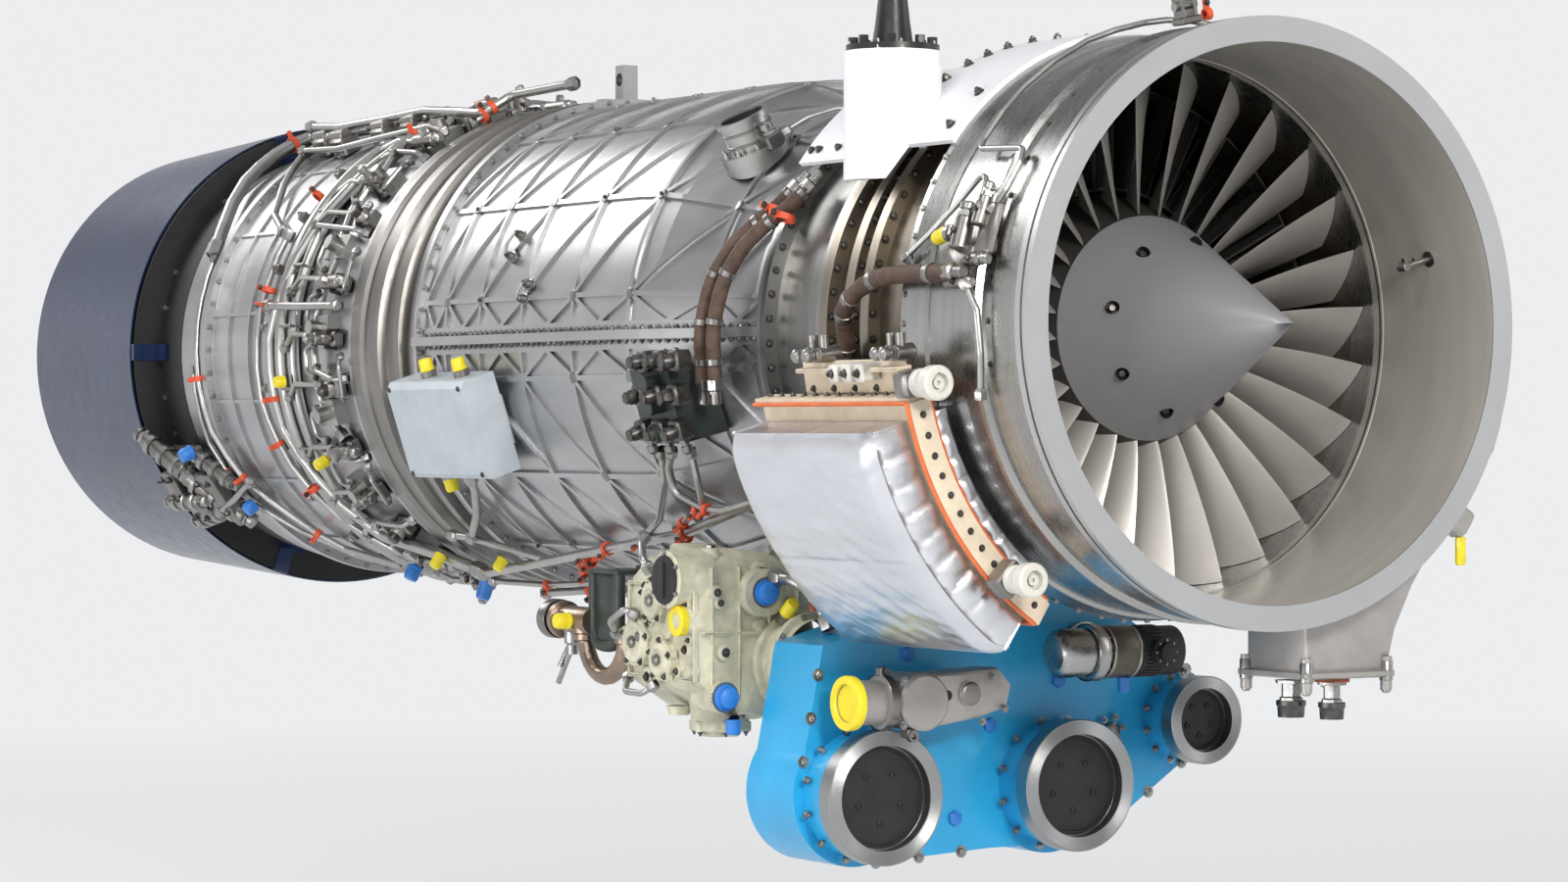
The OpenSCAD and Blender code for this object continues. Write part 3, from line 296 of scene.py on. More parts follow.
# Materials, all made of nodes.
def add(tree, kind, inputs=(), **settings):
    """Adds a shader node; an input takes a value, or another node's output as its link."""
    made = tree.nodes.new(kind)
    for key, value in settings.items():
        setattr(made, key, value)
    for key, value in dict(inputs).items():
        if isinstance(value, bpy.types.NodeSocket):
            tree.links.new(value, made.inputs[key])
        else:
            made.inputs[key].default_value = value
    return made


def material(name, color, rough=0.4, metal=1.0, tint=0.1, scale=14.0, stretch=(1, 1, 1), grain=120.0,
             bump=0.05, spread=0.045, dirt=0.0, dirt_color=(0.05, 0.045, 0.04), coat=0.0, detail=5.0):
    """Patches of two tones, dirt in spots, and a fine grain in the roughness and the bump."""
    m = bpy.data.materials.new(name)
    m.use_nodes = True
    tree = m.node_tree
    tree.nodes.clear()
    place = add(tree, "ShaderNodeTexCoord").outputs["Object"]
    drawn = add(tree, "ShaderNodeMapping", {0: place, "Scale": stretch}).outputs[0]
    big = add(tree, "ShaderNodeTexNoise", {"Vector": drawn, "Scale": scale, "Detail": detail}).outputs[0]
    fine = add(tree, "ShaderNodeTexNoise", {"Vector": drawn, "Scale": grain, "Detail": 4.0}).outputs[0]
    patches = add(tree, "ShaderNodeMapRange", {0: big, "From Min": 0.3, "From Max": 0.7}).outputs[0]
    darker = tuple(max(0.0, c * (1 - tint)) for c in color) + (1,)
    lighter = tuple(min(1.0, c * (1 + tint)) for c in color) + (1,)
    tone = add(tree, "ShaderNodeMix", {0: patches, 6: darker, 7: lighter}, data_type="RGBA").outputs[2]
    if dirt > 0:
        spots = add(tree, "ShaderNodeTexNoise",
                    {"Vector": place, "Scale": scale * 2.3, "Detail": 8.0}).outputs[0]
        share = add(tree, "ShaderNodeMapRange",
                    {0: spots, "From Min": 0.42, "From Max": 0.85, "To Max": dirt})
        dirty = {0: share.outputs[0], 6: tone, 7: tuple(dirt_color) + (1,)}
        tone = add(tree, "ShaderNodeMix", dirty, data_type="RGBA").outputs[2]
    gloss = {0: fine, "From Min": 0.3, "From Max": 0.7}
    gloss["To Min"] = max(0.04, rough - spread)
    gloss["To Max"] = min(1.0, rough + spread)
    skin = {"Base Color": tone, "Metallic": metal, "Coat Weight": coat, "Coat Roughness": 0.08}
    skin["Roughness"] = add(tree, "ShaderNodeMapRange", gloss).outputs[0]
    if bump > 0:
        bumps = {"Height": fine, "Strength": bump, "Distance": 0.002}
        skin["Normal"] = add(tree, "ShaderNodeBump", bumps).outputs[0]
    shader = add(tree, "ShaderNodeBsdfPrincipled", skin)
    add(tree, "ShaderNodeOutputMaterial", {0: shader.outputs[0]})
    return m


LOOKS = {
    "machined_ring": dict(color=(0.56, 0.565, 0.565), rough=0.38, stretch=(1, 26, 1), scale=5, grain=40,
                          tint=0.05, bump=0.015, spread=0.02),
    "pad_ring": dict(color=(0.34, 0.345, 0.35), rough=0.33, scale=4, grain=30, tint=0.06, bump=0.0,
                     spread=0.02),
    "case_grey": dict(color=(0.30, 0.30, 0.29), rough=0.32, stretch=(1, 9, 1), scale=5, grain=60, tint=0.14,
                      bump=0.02, dirt=0.12, dirt_color=(0.12, 0.11, 0.10)),
    "duct_silver": dict(color=(0.47, 0.47, 0.475), rough=0.36, stretch=(1, 1, 5), scale=4, grain=90,
                        tint=0.12, bump=0.03, dirt=0.16, dirt_color=(0.24, 0.23, 0.22)),
    "titanium": dict(color=(0.27, 0.26, 0.245), rough=0.36, stretch=(1, 4, 1), scale=7, grain=90, tint=0.14,
                     bump=0.03, dirt=0.2, dirt_color=(0.12, 0.10, 0.09)),
    "hot_metal": dict(color=(0.30, 0.25, 0.21), rough=0.45, scale=9, grain=60, tint=0.25, bump=0.05,
                      dirt=0.3),
    # Dark blue: partly the shroud's own dark finish, partly a painted reflection of a blue surround.
    "shroud_blue": dict(color=(0.007, 0.02, 0.07), rough=0.3, metal=0.1, scale=6, grain=40, tint=0.25,
                        bump=0.0, coat=0.2),
    "steel_dark": dict(color=(0.16, 0.16, 0.165), rough=0.4, scale=12, grain=90, tint=0.2),
    "pipe_steel": dict(color=(0.44, 0.435, 0.42), rough=0.34, scale=12, grain=60, tint=0.1, bump=0.01,
                       dirt=0.2),
    "gearbox_blue": dict(color=(0.02, 0.36, 0.68), rough=0.34, metal=0.0, scale=10, grain=150, tint=0.08,
                         bump=0.06, coat=0.25),
    "cover_black": dict(color=(0.012, 0.012, 0.014), rough=0.6, metal=0.0, scale=30, grain=300, tint=0.3,
                        bump=0.06),
    "casting_cream": dict(color=(0.60, 0.58, 0.44), rough=0.55, metal=0.0, scale=22, grain=120, tint=0.16,
                          bump=0.35, dirt=0.5, dirt_color=(0.20, 0.19, 0.13)),
    "frame_cream": dict(color=(0.70, 0.60, 0.46), rough=0.6, metal=0.0, scale=20, grain=160, tint=0.1,
                        bump=0.1, dirt=0.2, dirt_color=(0.35, 0.25, 0.16)),
    "box_grey": dict(color=(0.46, 0.51, 0.55), rough=0.42, metal=0.0, scale=14, grain=200, tint=0.06,
                     bump=0.04, dirt=0.12),
    "valve_dark": dict(color=(0.04, 0.052, 0.045), rough=0.42, metal=0.3, scale=30, grain=160, tint=0.3,
                       bump=0.1, dirt=0.2),
    "hanger_white": dict(color=(0.80, 0.81, 0.83), rough=0.38, metal=0.0, scale=8, grain=120, tint=0.02,
                         bump=0.02),
    "rod_black": dict(color=(0.012, 0.012, 0.013), rough=0.35, metal=0.0, scale=20, grain=120, tint=0.3,
                      bump=0.04),
    "hose_brown": dict(color=(0.085, 0.05, 0.034), rough=0.66, metal=0.0, scale=60, grain=420, tint=0.35,
                       bump=0.5),
    "spinner_grey": dict(color=(0.31, 0.31, 0.325), rough=0.42, metal=0.3, scale=8, grain=260, tint=0.04,
                         bump=0.03),
    "flap_dark": dict(color=(0.09, 0.09, 0.095), rough=0.5, scale=14, grain=90, tint=0.3, bump=0.06,
                      dirt=0.3),
    "foil": dict(color=(0.74, 0.755, 0.79), rough=0.33, stretch=(1, 1, 3), scale=9, grain=45, tint=0.05,
                 bump=0.05, spread=0.05, detail=2),
    # Near-black metal for the fan's vanes and drum: painted shade deep behind the fan.
    "deep_shade_metal": dict(color=(0.06, 0.058, 0.055), rough=0.5, metal=0.6, scale=6, grain=100, tint=0.1,
                       bump=0.01, spread=0.02),
    "warm_metal": dict(color=(0.31, 0.275, 0.225), rough=0.34, stretch=(1, 6, 1), scale=6, grain=80,
                       tint=0.16, bump=0.02, dirt=0.25, dirt_color=(0.12, 0.09, 0.06)),
    "fan_silver": dict(color=(0.40, 0.40, 0.39), rough=0.27, stretch=(1, 9, 1), scale=5, grain=60, tint=0.1,
                       bump=0.012, dirt=0.12, dirt_color=(0.14, 0.13, 0.12)),
    "cast_grey": dict(color=(0.40, 0.385, 0.37), rough=0.42, metal=0.55, scale=18, grain=160, tint=0.1,
                      bump=0.06, dirt=0.2, dirt_color=(0.16, 0.15, 0.14)),
    "fan_metal": dict(color=(0.50, 0.485, 0.46), rough=0.36, metal=0.62, scale=6, grain=200, tint=0.05,
                      bump=0.01, spread=0.02),
    "bore_grey": dict(color=(0.40, 0.385, 0.35), rough=0.36, metal=0.45, stretch=(1, 8, 1), scale=5, grain=60,
                      tint=0.08, bump=0.015, spread=0.03),
    "orange": dict(color=(0.70, 0.09, 0.03), rough=0.5, metal=0.0, scale=60, grain=300, tint=0.15, bump=0.1),
    "seal_orange": dict(color=(0.66, 0.15, 0.045), rough=0.6, metal=0.0, scale=60, grain=300, tint=0.12,
                        bump=0.15),
    "yellow": dict(color=(0.80, 0.66, 0.02), rough=0.4, metal=0.0, scale=50, grain=200, tint=0.06, bump=0.05),
    "blue_cap": dict(color=(0.03, 0.20, 0.62), rough=0.4, metal=0.0, scale=50, grain=200, tint=0.08,
                     bump=0.05),
    "bolt_dark": dict(color=(0.12, 0.115, 0.11), rough=0.38, scale=90, grain=400, tint=0.3, bump=0.05),
    "bolt_bright": dict(color=(0.36, 0.355, 0.345), rough=0.34, scale=90, grain=200, tint=0.2, bump=0.02),
    "white_plug": dict(color=(0.62, 0.61, 0.56), rough=0.42, metal=0.0, scale=60, grain=200, tint=0.04,
                       bump=0.05),
    # Black painted in holes, pockets, a seam and the shroud's mouth as the shade that falls there.
    "painted_shade_black": dict(color=(0.012, 0.012, 0.013), rough=0.6, metal=0.0, scale=20, grain=120, tint=0.3,
                         bump=0.05),
    "brown_drum": dict(color=(0.11, 0.095, 0.07), rough=0.42, metal=0.5, scale=30, grain=160, tint=0.2,
                       bump=0.05),
    "bronze": dict(color=(0.34, 0.26, 0.20), rough=0.34, scale=20, grain=120, tint=0.15, bump=0.03, dirt=0.2),
    "seal_brown": dict(color=(0.25, 0.06, 0.025), rough=0.6, metal=0.0, scale=60, grain=300, tint=0.2,
                       bump=0.1),
}
M = {name: material(name, **look) for name, look in LOOKS.items()}

SLOT_OF = {s["node"]: s["material_slot"] for s in frame["record"]["subparts"]}
# Nodes whose finish isn't the plain one of their slot; the fan's vanes and drum get the near-black painted
# shade of the depth behind the fan.
FINISH = {"fan_vanes": "deep_shade_metal", "fan_drum": "deep_shade_metal", "fan_case_rear": "warm_metal",
          "fan_case": "fan_silver", "gearbox_pads": "pad_ring"}
for name, obj in NODES.items():
    finish = FINISH.get(name, SLOT_OF[name])
    obj.data.materials.clear()
    obj.data.materials.append(M.get(finish, M["case_grey"]))
    obj.data.shade_smooth()
    obj.data.set_sharp_from_angle(angle=math.radians(32))

# Rows of bolts on the flanges.
dark = Bag("bolts_dark", M["bolt_dark"], slot="steel_dark")
bright = Bag("bolts_bright", M["bolt_bright"], slot="pipe_steel")


def ring_bolts(bag, y, r, count, face, size=4.6, start=0.0):
    """Bolts with studs on a flange's face, round the whole ring."""
    for i in range(count):
        bag.bolt(spot(start + i * 360.0 / count, y, r), face, size, stud=2.0)


def radial_bolts(bag, y, r, count, size, h, skip):
    """Bolts that point outwards from a band, except within the clock angles to skip."""
    for i in range(count):
        t = i * 360.0 / count
        w = (t + 180) % 360 - 180
        if not any(a <= w <= b for a, b in skip):
            bag.bolt(spot(t, y, r), out(t), size, h)


def flange_bolts(front, rear, y, r, count, size=4.6, start=0.0):
    """Bolts on both faces of a pair of flanges, whose front face is at station y."""
    ring_bolts(front, y, r, count, FORE, size, start)
    ring_bolts(rear, y + FLANGE_PAIR, r, count, AFT, size, start)


# Thickness of a pair of flanges, and how far outside the flow path its bolts stand.
FLANGE_PAIR, BOLT_RISE = 20, 20
for y in (436, 486, 557):
    flange_bolts(dark, bright, y, lookup(PATH, y) + BOLT_RISE, 64, start=2.8)
flange_bolts(dark, bright, 734, 334, 60, start=3)
flange_bolts(bright, dark, 1702, 402, 72, size=4, start=2.5)
flange_bolts(bright, dark, 2550, 398, 60, size=4)
ring_bolts(bright, 1960, 398, 60, AFT, size=4)
radial_bolts(bright, 286, 401, 64, size=3.6, h=3.2, skip=[(-60, -12), (34, 130)])
radial_bolts(dark, 104, 391, 44, size=3.2, h=2.6, skip=[(-62, -14)])

# Split flanges of the ribbed duct, both sides.
for side in (-1, 1):
    y = 770
    while y < 1690:
        r = duct_r(y) + 12.5
        for up in (-1, 1):
            dark.bolt(Vector((side * r, y, up * 7)), Vector((0, 0, up)), 4.0, 4.6, 2.5, washer=False)
        y += 17.4
dark.done()
bright.done()


# The quilted blankets of the control box.
def foil_box(name, r0, r1, t0, t1, y0, y1):
    """A quilted blanket round one half of the box: a grid on each outer side, pillowed between its seams."""
    cells_t, cells_y, cells_r = 84, 64, 14
    edge, sink = 12.0, 7

    def pillow(u, v):
        seam = abs(math.sin(math.pi * u * 2)) ** 0.35
        creases = math.sin(52 * u + 3.5 * math.sin(9 * v)) * math.sin(17 * v + 4 * u)
        fine = math.sin(96 * u + 5 * math.sin(13 * v + 1)) * math.sin(29 * v - 7 * u)
        return 5.2 * seam + 0.9 * creases + 0.5 * fine

    def channels(u, v):
        ribs = 7.0 * abs(math.sin(math.pi * u * 9)) ** 0.5 * math.sin(math.pi * min(1, v * 1.1)) ** 0.5
        return ribs + pillow(u, v) * 0.3

    bag = Bag(name, M["foil"], slot="foil")

    def grid(fn, n1, n2):
        """Adds a grid of n1 by n2 cells, whose points fn gives for shares from 0 to 1."""
        i0 = len(bag.v)
        for i in range(n1 + 1):
            for j in range(n2 + 1):
                bag.v.append(fn(i / n1, j / n2))
        for i in range(n1):
            for j in range(n2):
                a = i0 + i * (n2 + 1) + j
                bag.f.append((a, a + 1, a + n2 + 2, a + n2 + 1))

    def fade(u, v):
        """1 inside a side, falling to 0 at its edges."""
        return min(1.0, 8 * min(u, 1 - u)) * min(1.0, 8 * min(v, 1 - v))

    def top(u, v):
        rr = r1 - edge * (1 - min(1, 10 * min(u, 1 - u))) ** 2 - edge * (1 - min(1, 14 * min(v, 1 - v))) ** 2
        return spot(t0 + (t1 - t0) * u, y0 + (y1 - y0) * v, rr - sink + pillow(u, v) * fade(u, v))

    grid(top, cells_t, cells_y)
    for yy, sign in ((y0, -1), (y1, 1)):
        def face(u, v, yy=yy, sign=sign):
            rr = r0 + (r1 - sink - edge - r0) * v
            if v >= 0.999:
                return top(u, 0.0 if sign < 0 else 1.0)
            return spot(t0 + (t1 - t0) * u, yy + sign * (channels(u, v) * fade(u, v) - 5) * 0.8, rr)
        grid(face, cells_t, cells_r)
    for tt, uu, sign in ((t0, 0.0, -1), (t1, 1.0, 1)):
        def flank(u, v, tt=tt, uu=uu, sign=sign):
            rr = r0 + (r1 - sink - edge - r0) * v
            if v >= 0.999:
                return top(uu, u)
            bulge = pillow(u, v * 0.4) * fade(u, v) - 5
            return spot(tt, y0 + (y1 - y0) * u, rr) + along(tt) * sign * bulge * 0.5
        grid(flank, cells_y, cells_r)
    return bag


# Fittings that many pipes share.
pipes = Bag("pipes", M["pipe_steel"], slot="pipe_steel")
fits = Bag("fittings", M["titanium"], slot="titanium")
nuts = Bag("fitting_nuts", M["bolt_bright"], slot="pipe_steel")
blacks = Bag("dark_fittings", M["bolt_dark"], slot="steel_dark")
oranges = Bag("clamps", M["orange"], slot="hose_brown")
yellows = Bag("caps_yellow", M["yellow"], slot="cover_black")
blues = Bag("caps_blue", M["blue_cap"], slot="cover_black")
whites = Bag("plugs_white", M["white_plug"], slot="hanger_white")


def union(at, axis, r=9.0, n=26.0, bag=None):
    """A threaded union: hex foot, neck, swivel nut and sleeve."""
    b = bag or nuts
    b.lathe(at, axis, [(r * 1.25, -1), (r * 1.25, n * 0.26), (r * 0.8, n * 0.3), (r * 0.8, n * 0.42)], 6,
            spin=rnd.uniform(0, 60))
    b.lathe(at, axis, [(r * 0.82, n * 0.2), (r * 0.82, n * 0.46), (r * 1.15, n * 0.48), (r * 1.15, n * 0.84),
                       (r * 0.95, n * 0.9), (r * 0.7, n), (0, n)], 12)


def cap(bag, at, axis, r, h):
    """A plastic cap with a rim, a grip and a domed end."""
    bag.lathe(at, axis, [(r * 0.9, 0), (r, 1.2), (r, h * 0.22), (r * 0.93, h * 0.26), (r * 0.93, h * 0.8),
                         (r * 0.78, h), (0, h)], 18)


def clamp(at, d, r, ear=None):
    """A cushioned band clamp round a pipe, with its ear and bolt."""
    oranges.lathe(at - d.normalized() * 5, d, [(r + 0.4, 0), (r + 3.2, 0.6), (r + 3.2, 9.4), (r + 0.4, 10)],
                  14)
    ear = ear or UP
    ear = (ear - d.normalized() * ear.dot(d.normalized())).normalized()
    oranges.block(at + ear * (r + 8), d.normalized(), ear, (9, 5, 14), 1)
    blacks.bolt(at + ear * (r + 10) + d.normalized().cross(ear) * 2.4, d.normalized().cross(ear), 3.6, 4, 1.5)


def run(points, r, bend=24, n=10, clamps=(), plain=False):
    """A pipe through [clock, station, radius] points, with clamps at fractions of its length."""
    pts = [p if isinstance(p, Vector) else spot(*p) for p in points]
    # Long turns round the case are split so that the pipe follows the curve.
    full = [pts[0]]
    for a, b, pa, pb in zip(points, points[1:], pts, pts[1:]):
        if not isinstance(a, Vector) and not isinstance(b, Vector) and abs(a[0] - b[0]) > 9:
            k = int(abs(a[0] - b[0]) // 6)
            for i in range(1, k):
                f = i / k
                full.append(spot(a[0] + (b[0] - a[0]) * f, a[1] + (b[1] - a[1]) * f,
                                 a[2] + (b[2] - a[2]) * f))
        full.append(pb)
    path = pipes.tube(full, r, n, bend)
    if not plain:
        for p, q in ((path[0], path[2]), (path[-1], path[-3])):
            d = (q - p).normalized()
            nuts.lathe(p - d * 2, d, [(r + 1, 0), (r + 4.2, 1), (r + 4.2, r * 1.5 + 4), (r + 1, r * 2 + 6)],
                       6)
    for f in clamps:
        i = min(len(path) - 2, int(f * (len(path) - 1)))
        d = path[i + 1] - path[i]
        if d.length > 1e-6:
            clamp(path[i], d, r, Vector((path[i].x, 0, path[i].z)))


# Pipes round the afterburner case, first the thick supply pipe that runs round in front of the ribs.
run([(118, 2150, 452), (96, 2135, 430), (74, 2120, 418), (55, 2124, 414), (42, 2156, 410), (23, 2212, 408),
     (2, 2262, 408), (-20, 2258, 408), (-41, 2182, 410), (-51, 2117, 416), (-56, 1950, 424),
     (-62, 1860, 430)], 11, clamps=(0.3, 0.72))
run([(70, 2185, 412), (46, 2066, 412), (34, 2080, 410), (23, 2059, 408), (0, 2092, 408), (-16, 2077, 408),
     (-23, 2037, 404)], 8)
run([(30, 2300, 408), (10, 2318, 406), (-12, 2322, 406), (-30, 2290, 408), (-46, 2240, 410), (-58, 2150, 414),
     (-66, 2000, 418)], 7, clamps=(0.6,))
run([(25, 2590, 404), (7, 2585, 406), (-7, 2578, 408), (-21, 2570, 408), (-34, 2524, 410), (-47, 2446, 408),
     (-60, 2391, 408), (-67, 2247, 412), (-65, 2073, 416)], 5.5, clamps=(0.35, 0.6, 0.8))
run([(-4, 2595, 408), (-24, 2600, 408), (-40, 2560, 410), (-52, 2480, 408), (-63, 2380, 410),
     (-72, 2240, 412)], 5, clamps=(0.5,))
# Bright manifold bent round the jet pipe's upper side.
run([(104, 2700, 430), (84, 2720, 424), (68, 2715, 416), (49, 2676, 411), (33, 2608, 409), (25, 2590, 408)],
    12, clamps=(0.45,))
run([(100, 2620, 424), (80, 2610, 416), (60, 2560, 412), (46, 2480, 408), (36, 2420, 406), (30, 2330, 406)],
    7)
# Pipes along the axis between the rings.
run([(9.9, 2266, 420), (9.2, 2130, 424), (8.9, 1978, 420)], 7, clamps=(0.04,))
for t, a, b in ((28, 1990, 2200), (-8, 1985, 2090), (-28, 1990, 2140), (-47, 1980, 2180), (52, 1985, 2160),
                (88, 1990, 2230), (140, 1990, 2200), (172, 1990, 2240), (205, 1990, 2180)):
    run([(t, a, 398), (t, a + 20, 416), (t + 2, b - 30, 418), (t + 3, b, 404)], 5)
# Full rings on the side that the photograph doesn't show.
for y, r, pr in ((2185, 9, 405), (2235, 11, 407), (2330, 6, 404)):
    run([(t, y, pr) for t in (118, 150, 180, 210, 240, 262, 284, 294)], r)

# Ring of valves with their unions and small loops.
for i in range(25):
    t = -76 + i * 13.2 + rnd.uniform(-2.5, 2.5)
    y = 2030 + rnd.uniform(-14, 22)
    rise, turn = out(t), along(t)
    base = spot(t, y, CASE + 2)
    fits.block(base + rise * 9, turn, rise, (rnd.uniform(24, 34), rnd.uniform(40, 58), 20), 3)
    for sign in (-1, 1):
        blacks.bolt(base + turn * 14 * sign + AFT * rnd.uniform(-8, 8) + rise, rise, 3.8, 22, 2)
    kind = i % 3
    if kind == 0:
        fits.rod(base + rise * 16, base + rise * 46, 12, 16, 10, 2)
        union(base + rise * 44, rise, 7, 20)
        fits.rod(base + rise * 32 - AFT * 24, base + rise * 32 + AFT * 30, 7, 12, 7, 1)
        union(base + rise * 32 + AFT * 28, AFT, 6, 18)
    elif kind == 1:
        fits.rod(base + rise * 26 - AFT * 34, base + rise * 26 + AFT * 36, 12, 16, 12, 2)
        union(base + rise * 26 - AFT * 34, FORE, 8, 20)
        union(base + rise * 26 + AFT * 34, AFT, 7, 18)
        nuts.lathe(base + rise * 24, rise, [(8, 0), (8, 20), (6, 24), (0, 24)], 6)
    else:
        fits.rod(base + rise * 14, base + rise * 30, 16, 20, 14, 2)
        blacks.lathe(base + rise * 30, rise, [(11, 0), (11, 10), (8, 13), (0, 13)], 14)
        union(base + rise * 20 + turn * 10, turn, 6, 18)
    # A loop from this valve to the next.
    t2 = t + 9.5
    run([(t + 3, y + 36, CASE + 30), (t + 4.5, y + 62, CASE + 34), (t2, y + 66, CASE + 32),
         (t2 + 1.4, y + 40, CASE + 28)], 4, bend=14, n=8)
    if i % 2:
        run([(t - 2, y - 34, CASE + 16), (t - 2, y - 52, CASE + 28), (t + 5, y - 56, CASE + 30),
             (t + 8, y - 40, CASE + 18)], 3.6, bend=12, n=8)
    run([(t + 1, y + 30, CASE + 22), (t + 1.5, 2150, CASE + 30), (t - 2, 2190, CASE + 26)], 4.4, bend=20, n=8)
# Small brackets that carry the pipes.
for i in range(22):
    t = -70 + i * 15
    fits.block(spot(t, 2205, CASE + 12), along(t), out(t), (5, 60, 24), 1)
    fits.block(spot(t, 2300, CASE + 9), along(t), out(t), (16, 20, 16), 2)
    nuts.bolt(spot(t, 2300, CASE + 17), out(t), 5, 5, 3)

for t, y, r in ((41.1, 2287, 404), (13.5, 2259, 424), (-35, 2215, 424), (-55.2, 1423, 412),
                (-60.8, 1504, 412), (69, 1965, 420)):
    clamp(spot(t, y, r), along(t), 9, out(t))
for t, y, r, length in ((-27.5, 2113, 418, 24), (-55.1, 1932, 428, 26), (-8, 2180, 424, 18)):
    cap(yellows, spot(t, y, r), out(t), 11, length)
for t, y, r, length in ((-64, 2150, 420, 26), (-71, 1971, 420, 34), (-41, 2531, 420, 20)):
    cap(blues, spot(t, y, r), out(t), 14, length)
# Valves, links and fittings round the nozzle's left actuator.
for a, b, r in (((-45, 2600, 424), (-31, 2690, 438), 21), ((-30, 2690, 440), (-21, 2786, 446), 18),
                ((-43, 2680, 424), (-45, 2786, 434), 17), ((-35, 2560, 418), (-27, 2640, 424), 14),
                ((-37, 2660, 452), (-37, 2780, 456), 15)):
    pa, pb = spot(*a), spot(*b)
    d = (pb - pa).normalized()
    fits.rod(pa, pb, r, 24, r * 0.9, 2)
    for f in (0.18, 0.5, 0.82):
        nuts.lathe(pa + (pb - pa) * f, d, [(r, -6), (r + 3, -5), (r + 3, 5), (r, 6)], 24)
    union(pb, d, r * 0.72, 26)
    union(pa, -d, r * 0.6, 20)
for t, y, r, size in ((-37, 2630, 428, (96, 70, 30)), (-40, 2740, 431, (70, 74, 26)),
                      (-27, 2700, 416, (36, 120, 22)), (-33, 2740, 440, (60, 50, 44))):
    fits.block(spot(t, y, r), along(t), out(t), size, 5)
    for sign in (-1, 1):
        for q in (-1, 1):
            blacks.bolt(spot(t, y + size[1] * 0.34 * sign, r + size[2] / 2) + along(t) * size[0] * 0.34 * q,
                        out(t), 5.4, 6, 4)
cap(blues, spot(-25, 2640, 430), out(-25), 14, 24)
run([(-41, 2640, 446), (-38, 2560, 434), (-34, 2480, 418)], 6)

# Elements on top, between the aft lug and the pipes.
for t, y in ((66, 2540), (64, 2440), (68, 2330), (70, 2240), (72, 2150), (78, 2060)):
    rise, turn = out(t), along(t)
    c = spot(t, y, CASE + 4)
    fits.block(c + rise * 16, turn, rise, (38, 52, 34), 4)
    fits.rod(c + rise * 34 - AFT * 20, c + rise * 34 + AFT * 34, 13, 18, 11, 2)
    union(c + rise * 34 + AFT * 32, AFT, 8, 22)
    blacks.bolt(c + rise * 33 + turn * 10, rise, 5, 6, 3)
run([(67, 2600, 446), (66, 2470, 440), (69, 2330, 438), (71, 2200, 440), (69, 2040, 432), (69, 1960, 424),
     (76, 1945, 440), (82, 1800, 444)], 8, clamps=(0.8,))
run([(60, 2560, 420), (59, 2400, 418), (62, 2260, 420), (64, 2100, 424), (60, 1990, 420)], 5.5)

# Bosses, fittings and pipes on the ribbed duct.
RIBS_Y = (880, 1040, 1205, 1366, 1506, 1622)
RIBS_T = [9 + i * 162 / 7 for i in range(8)]
for y in RIBS_Y:
    for k, t in enumerate(RIBS_T + [-q for q in RIBS_T]):
        if abs(t + 20) < 14 and y > 1350:
            continue
        c = spot(t, y, duct_r(y) + 3)
        fits.lathe(c, out(t), [(9, 0), (9, 2.6), (7.6, 3.2), (0, 3.2)], 14)
        if (k + int(y)) % 3 == 0:
            blacks.bolt(c + out(t) * 3, out(t), 3.4, 3.2, 1.5, washer=False)
# Small sensor fittings on the duct's side, joined by a thin line.
for t, y in ((23.9, 1423), (18.8, 1430), (12, 1349), (8.7, 1357)):
    c = spot(t, y, duct_r(y) + 1)
    fits.lathe(c, out(t), [(10, 0), (10, 5), (7, 6), (7, 14), (0, 14)], 14)
    blacks.bolt(c + out(t) * 12, out(t), 5, 6, 2, washer=False)
run([(23.9, 1423, 412), (21, 1428, 416), (18.8, 1430, 412)], 2.6, plain=True)
run([(12, 1349, 412), (10, 1352, 416), (8.7, 1357, 412)], 2.6, plain=True)
# Pipes from the valve block, down and along the duct's lower side.
run([(-24, 930, 416), (-28, 955, 420), (-33, 965, 424), (-37, 900, 426), (-37.5, 856, 424), (-36, 750, 400),
     (-34, 700, 372)], 6, clamps=(0.55,))
run([(-24, 880, 414), (-30, 885, 420), (-36, 905, 424), (-41, 1000, 428), (-44, 1015, 428)], 5, clamps=(0.7,))
run([(-24, 960, 416), (-31, 985, 420), (-40, 1060, 424), (-47, 1180, 424), (-50, 1300, 424), (-53, 1420, 424),
     (-56, 1560, 424), (-48, 1740, 428), (-47, 1800, 430)], 6, clamps=(0.45, 0.62))
run([(-36, 752, 402), (-43, 1003, 430), (-49, 1295, 430), (-55, 1559, 430), (-58, 1700, 432),
     (-62, 1860, 432)], 8, clamps=(0.2, 0.72))
run([(-62, 1010, 420), (-64, 1200, 420), (-66, 1480, 420), (-67, 1700, 430), (-66, 1880, 432)], 5,
    clamps=(0.5,))
run([(-80, 800, 392), (-78, 1000, 416), (-76, 1300, 418), (-74, 1650, 420), (-74, 1800, 430)], 7,
    clamps=(0.3, 0.6))
for t, y, r in ((-55.2, 1423, 424), (-60.8, 1504, 420), (-37.5, 926, 424), (-44.1, 1013, 428)):
    clamp(spot(t, y, r), AFT, 8, out(t))
cap(yellows, spot(-54, 1690, 434), out(-54), 10, 22)

# Valve block on the duct: extra stacks on the plain block.
for i, (t, y) in enumerate(((-5.5, 830), (-5.5, 875), (-5.5, 920), (-12, 845), (-12, 895), (-12, 945),
                            (-19, 860), (-19, 910), (-19, 960))):
    c = spot(t, y, 428)
    blacks.block(c, along(t), out(t), (30, 30, 26), 3)
    blacks.lathe(c + out(t) * 12, out(t), [(11, 0), (11, 12), (9, 15), (9, 20), (0, 20)], 6 if i % 2 else 14)
    if i >= 6:
        union(c - along(t) * 14, -along(t), 7, 24, fits)

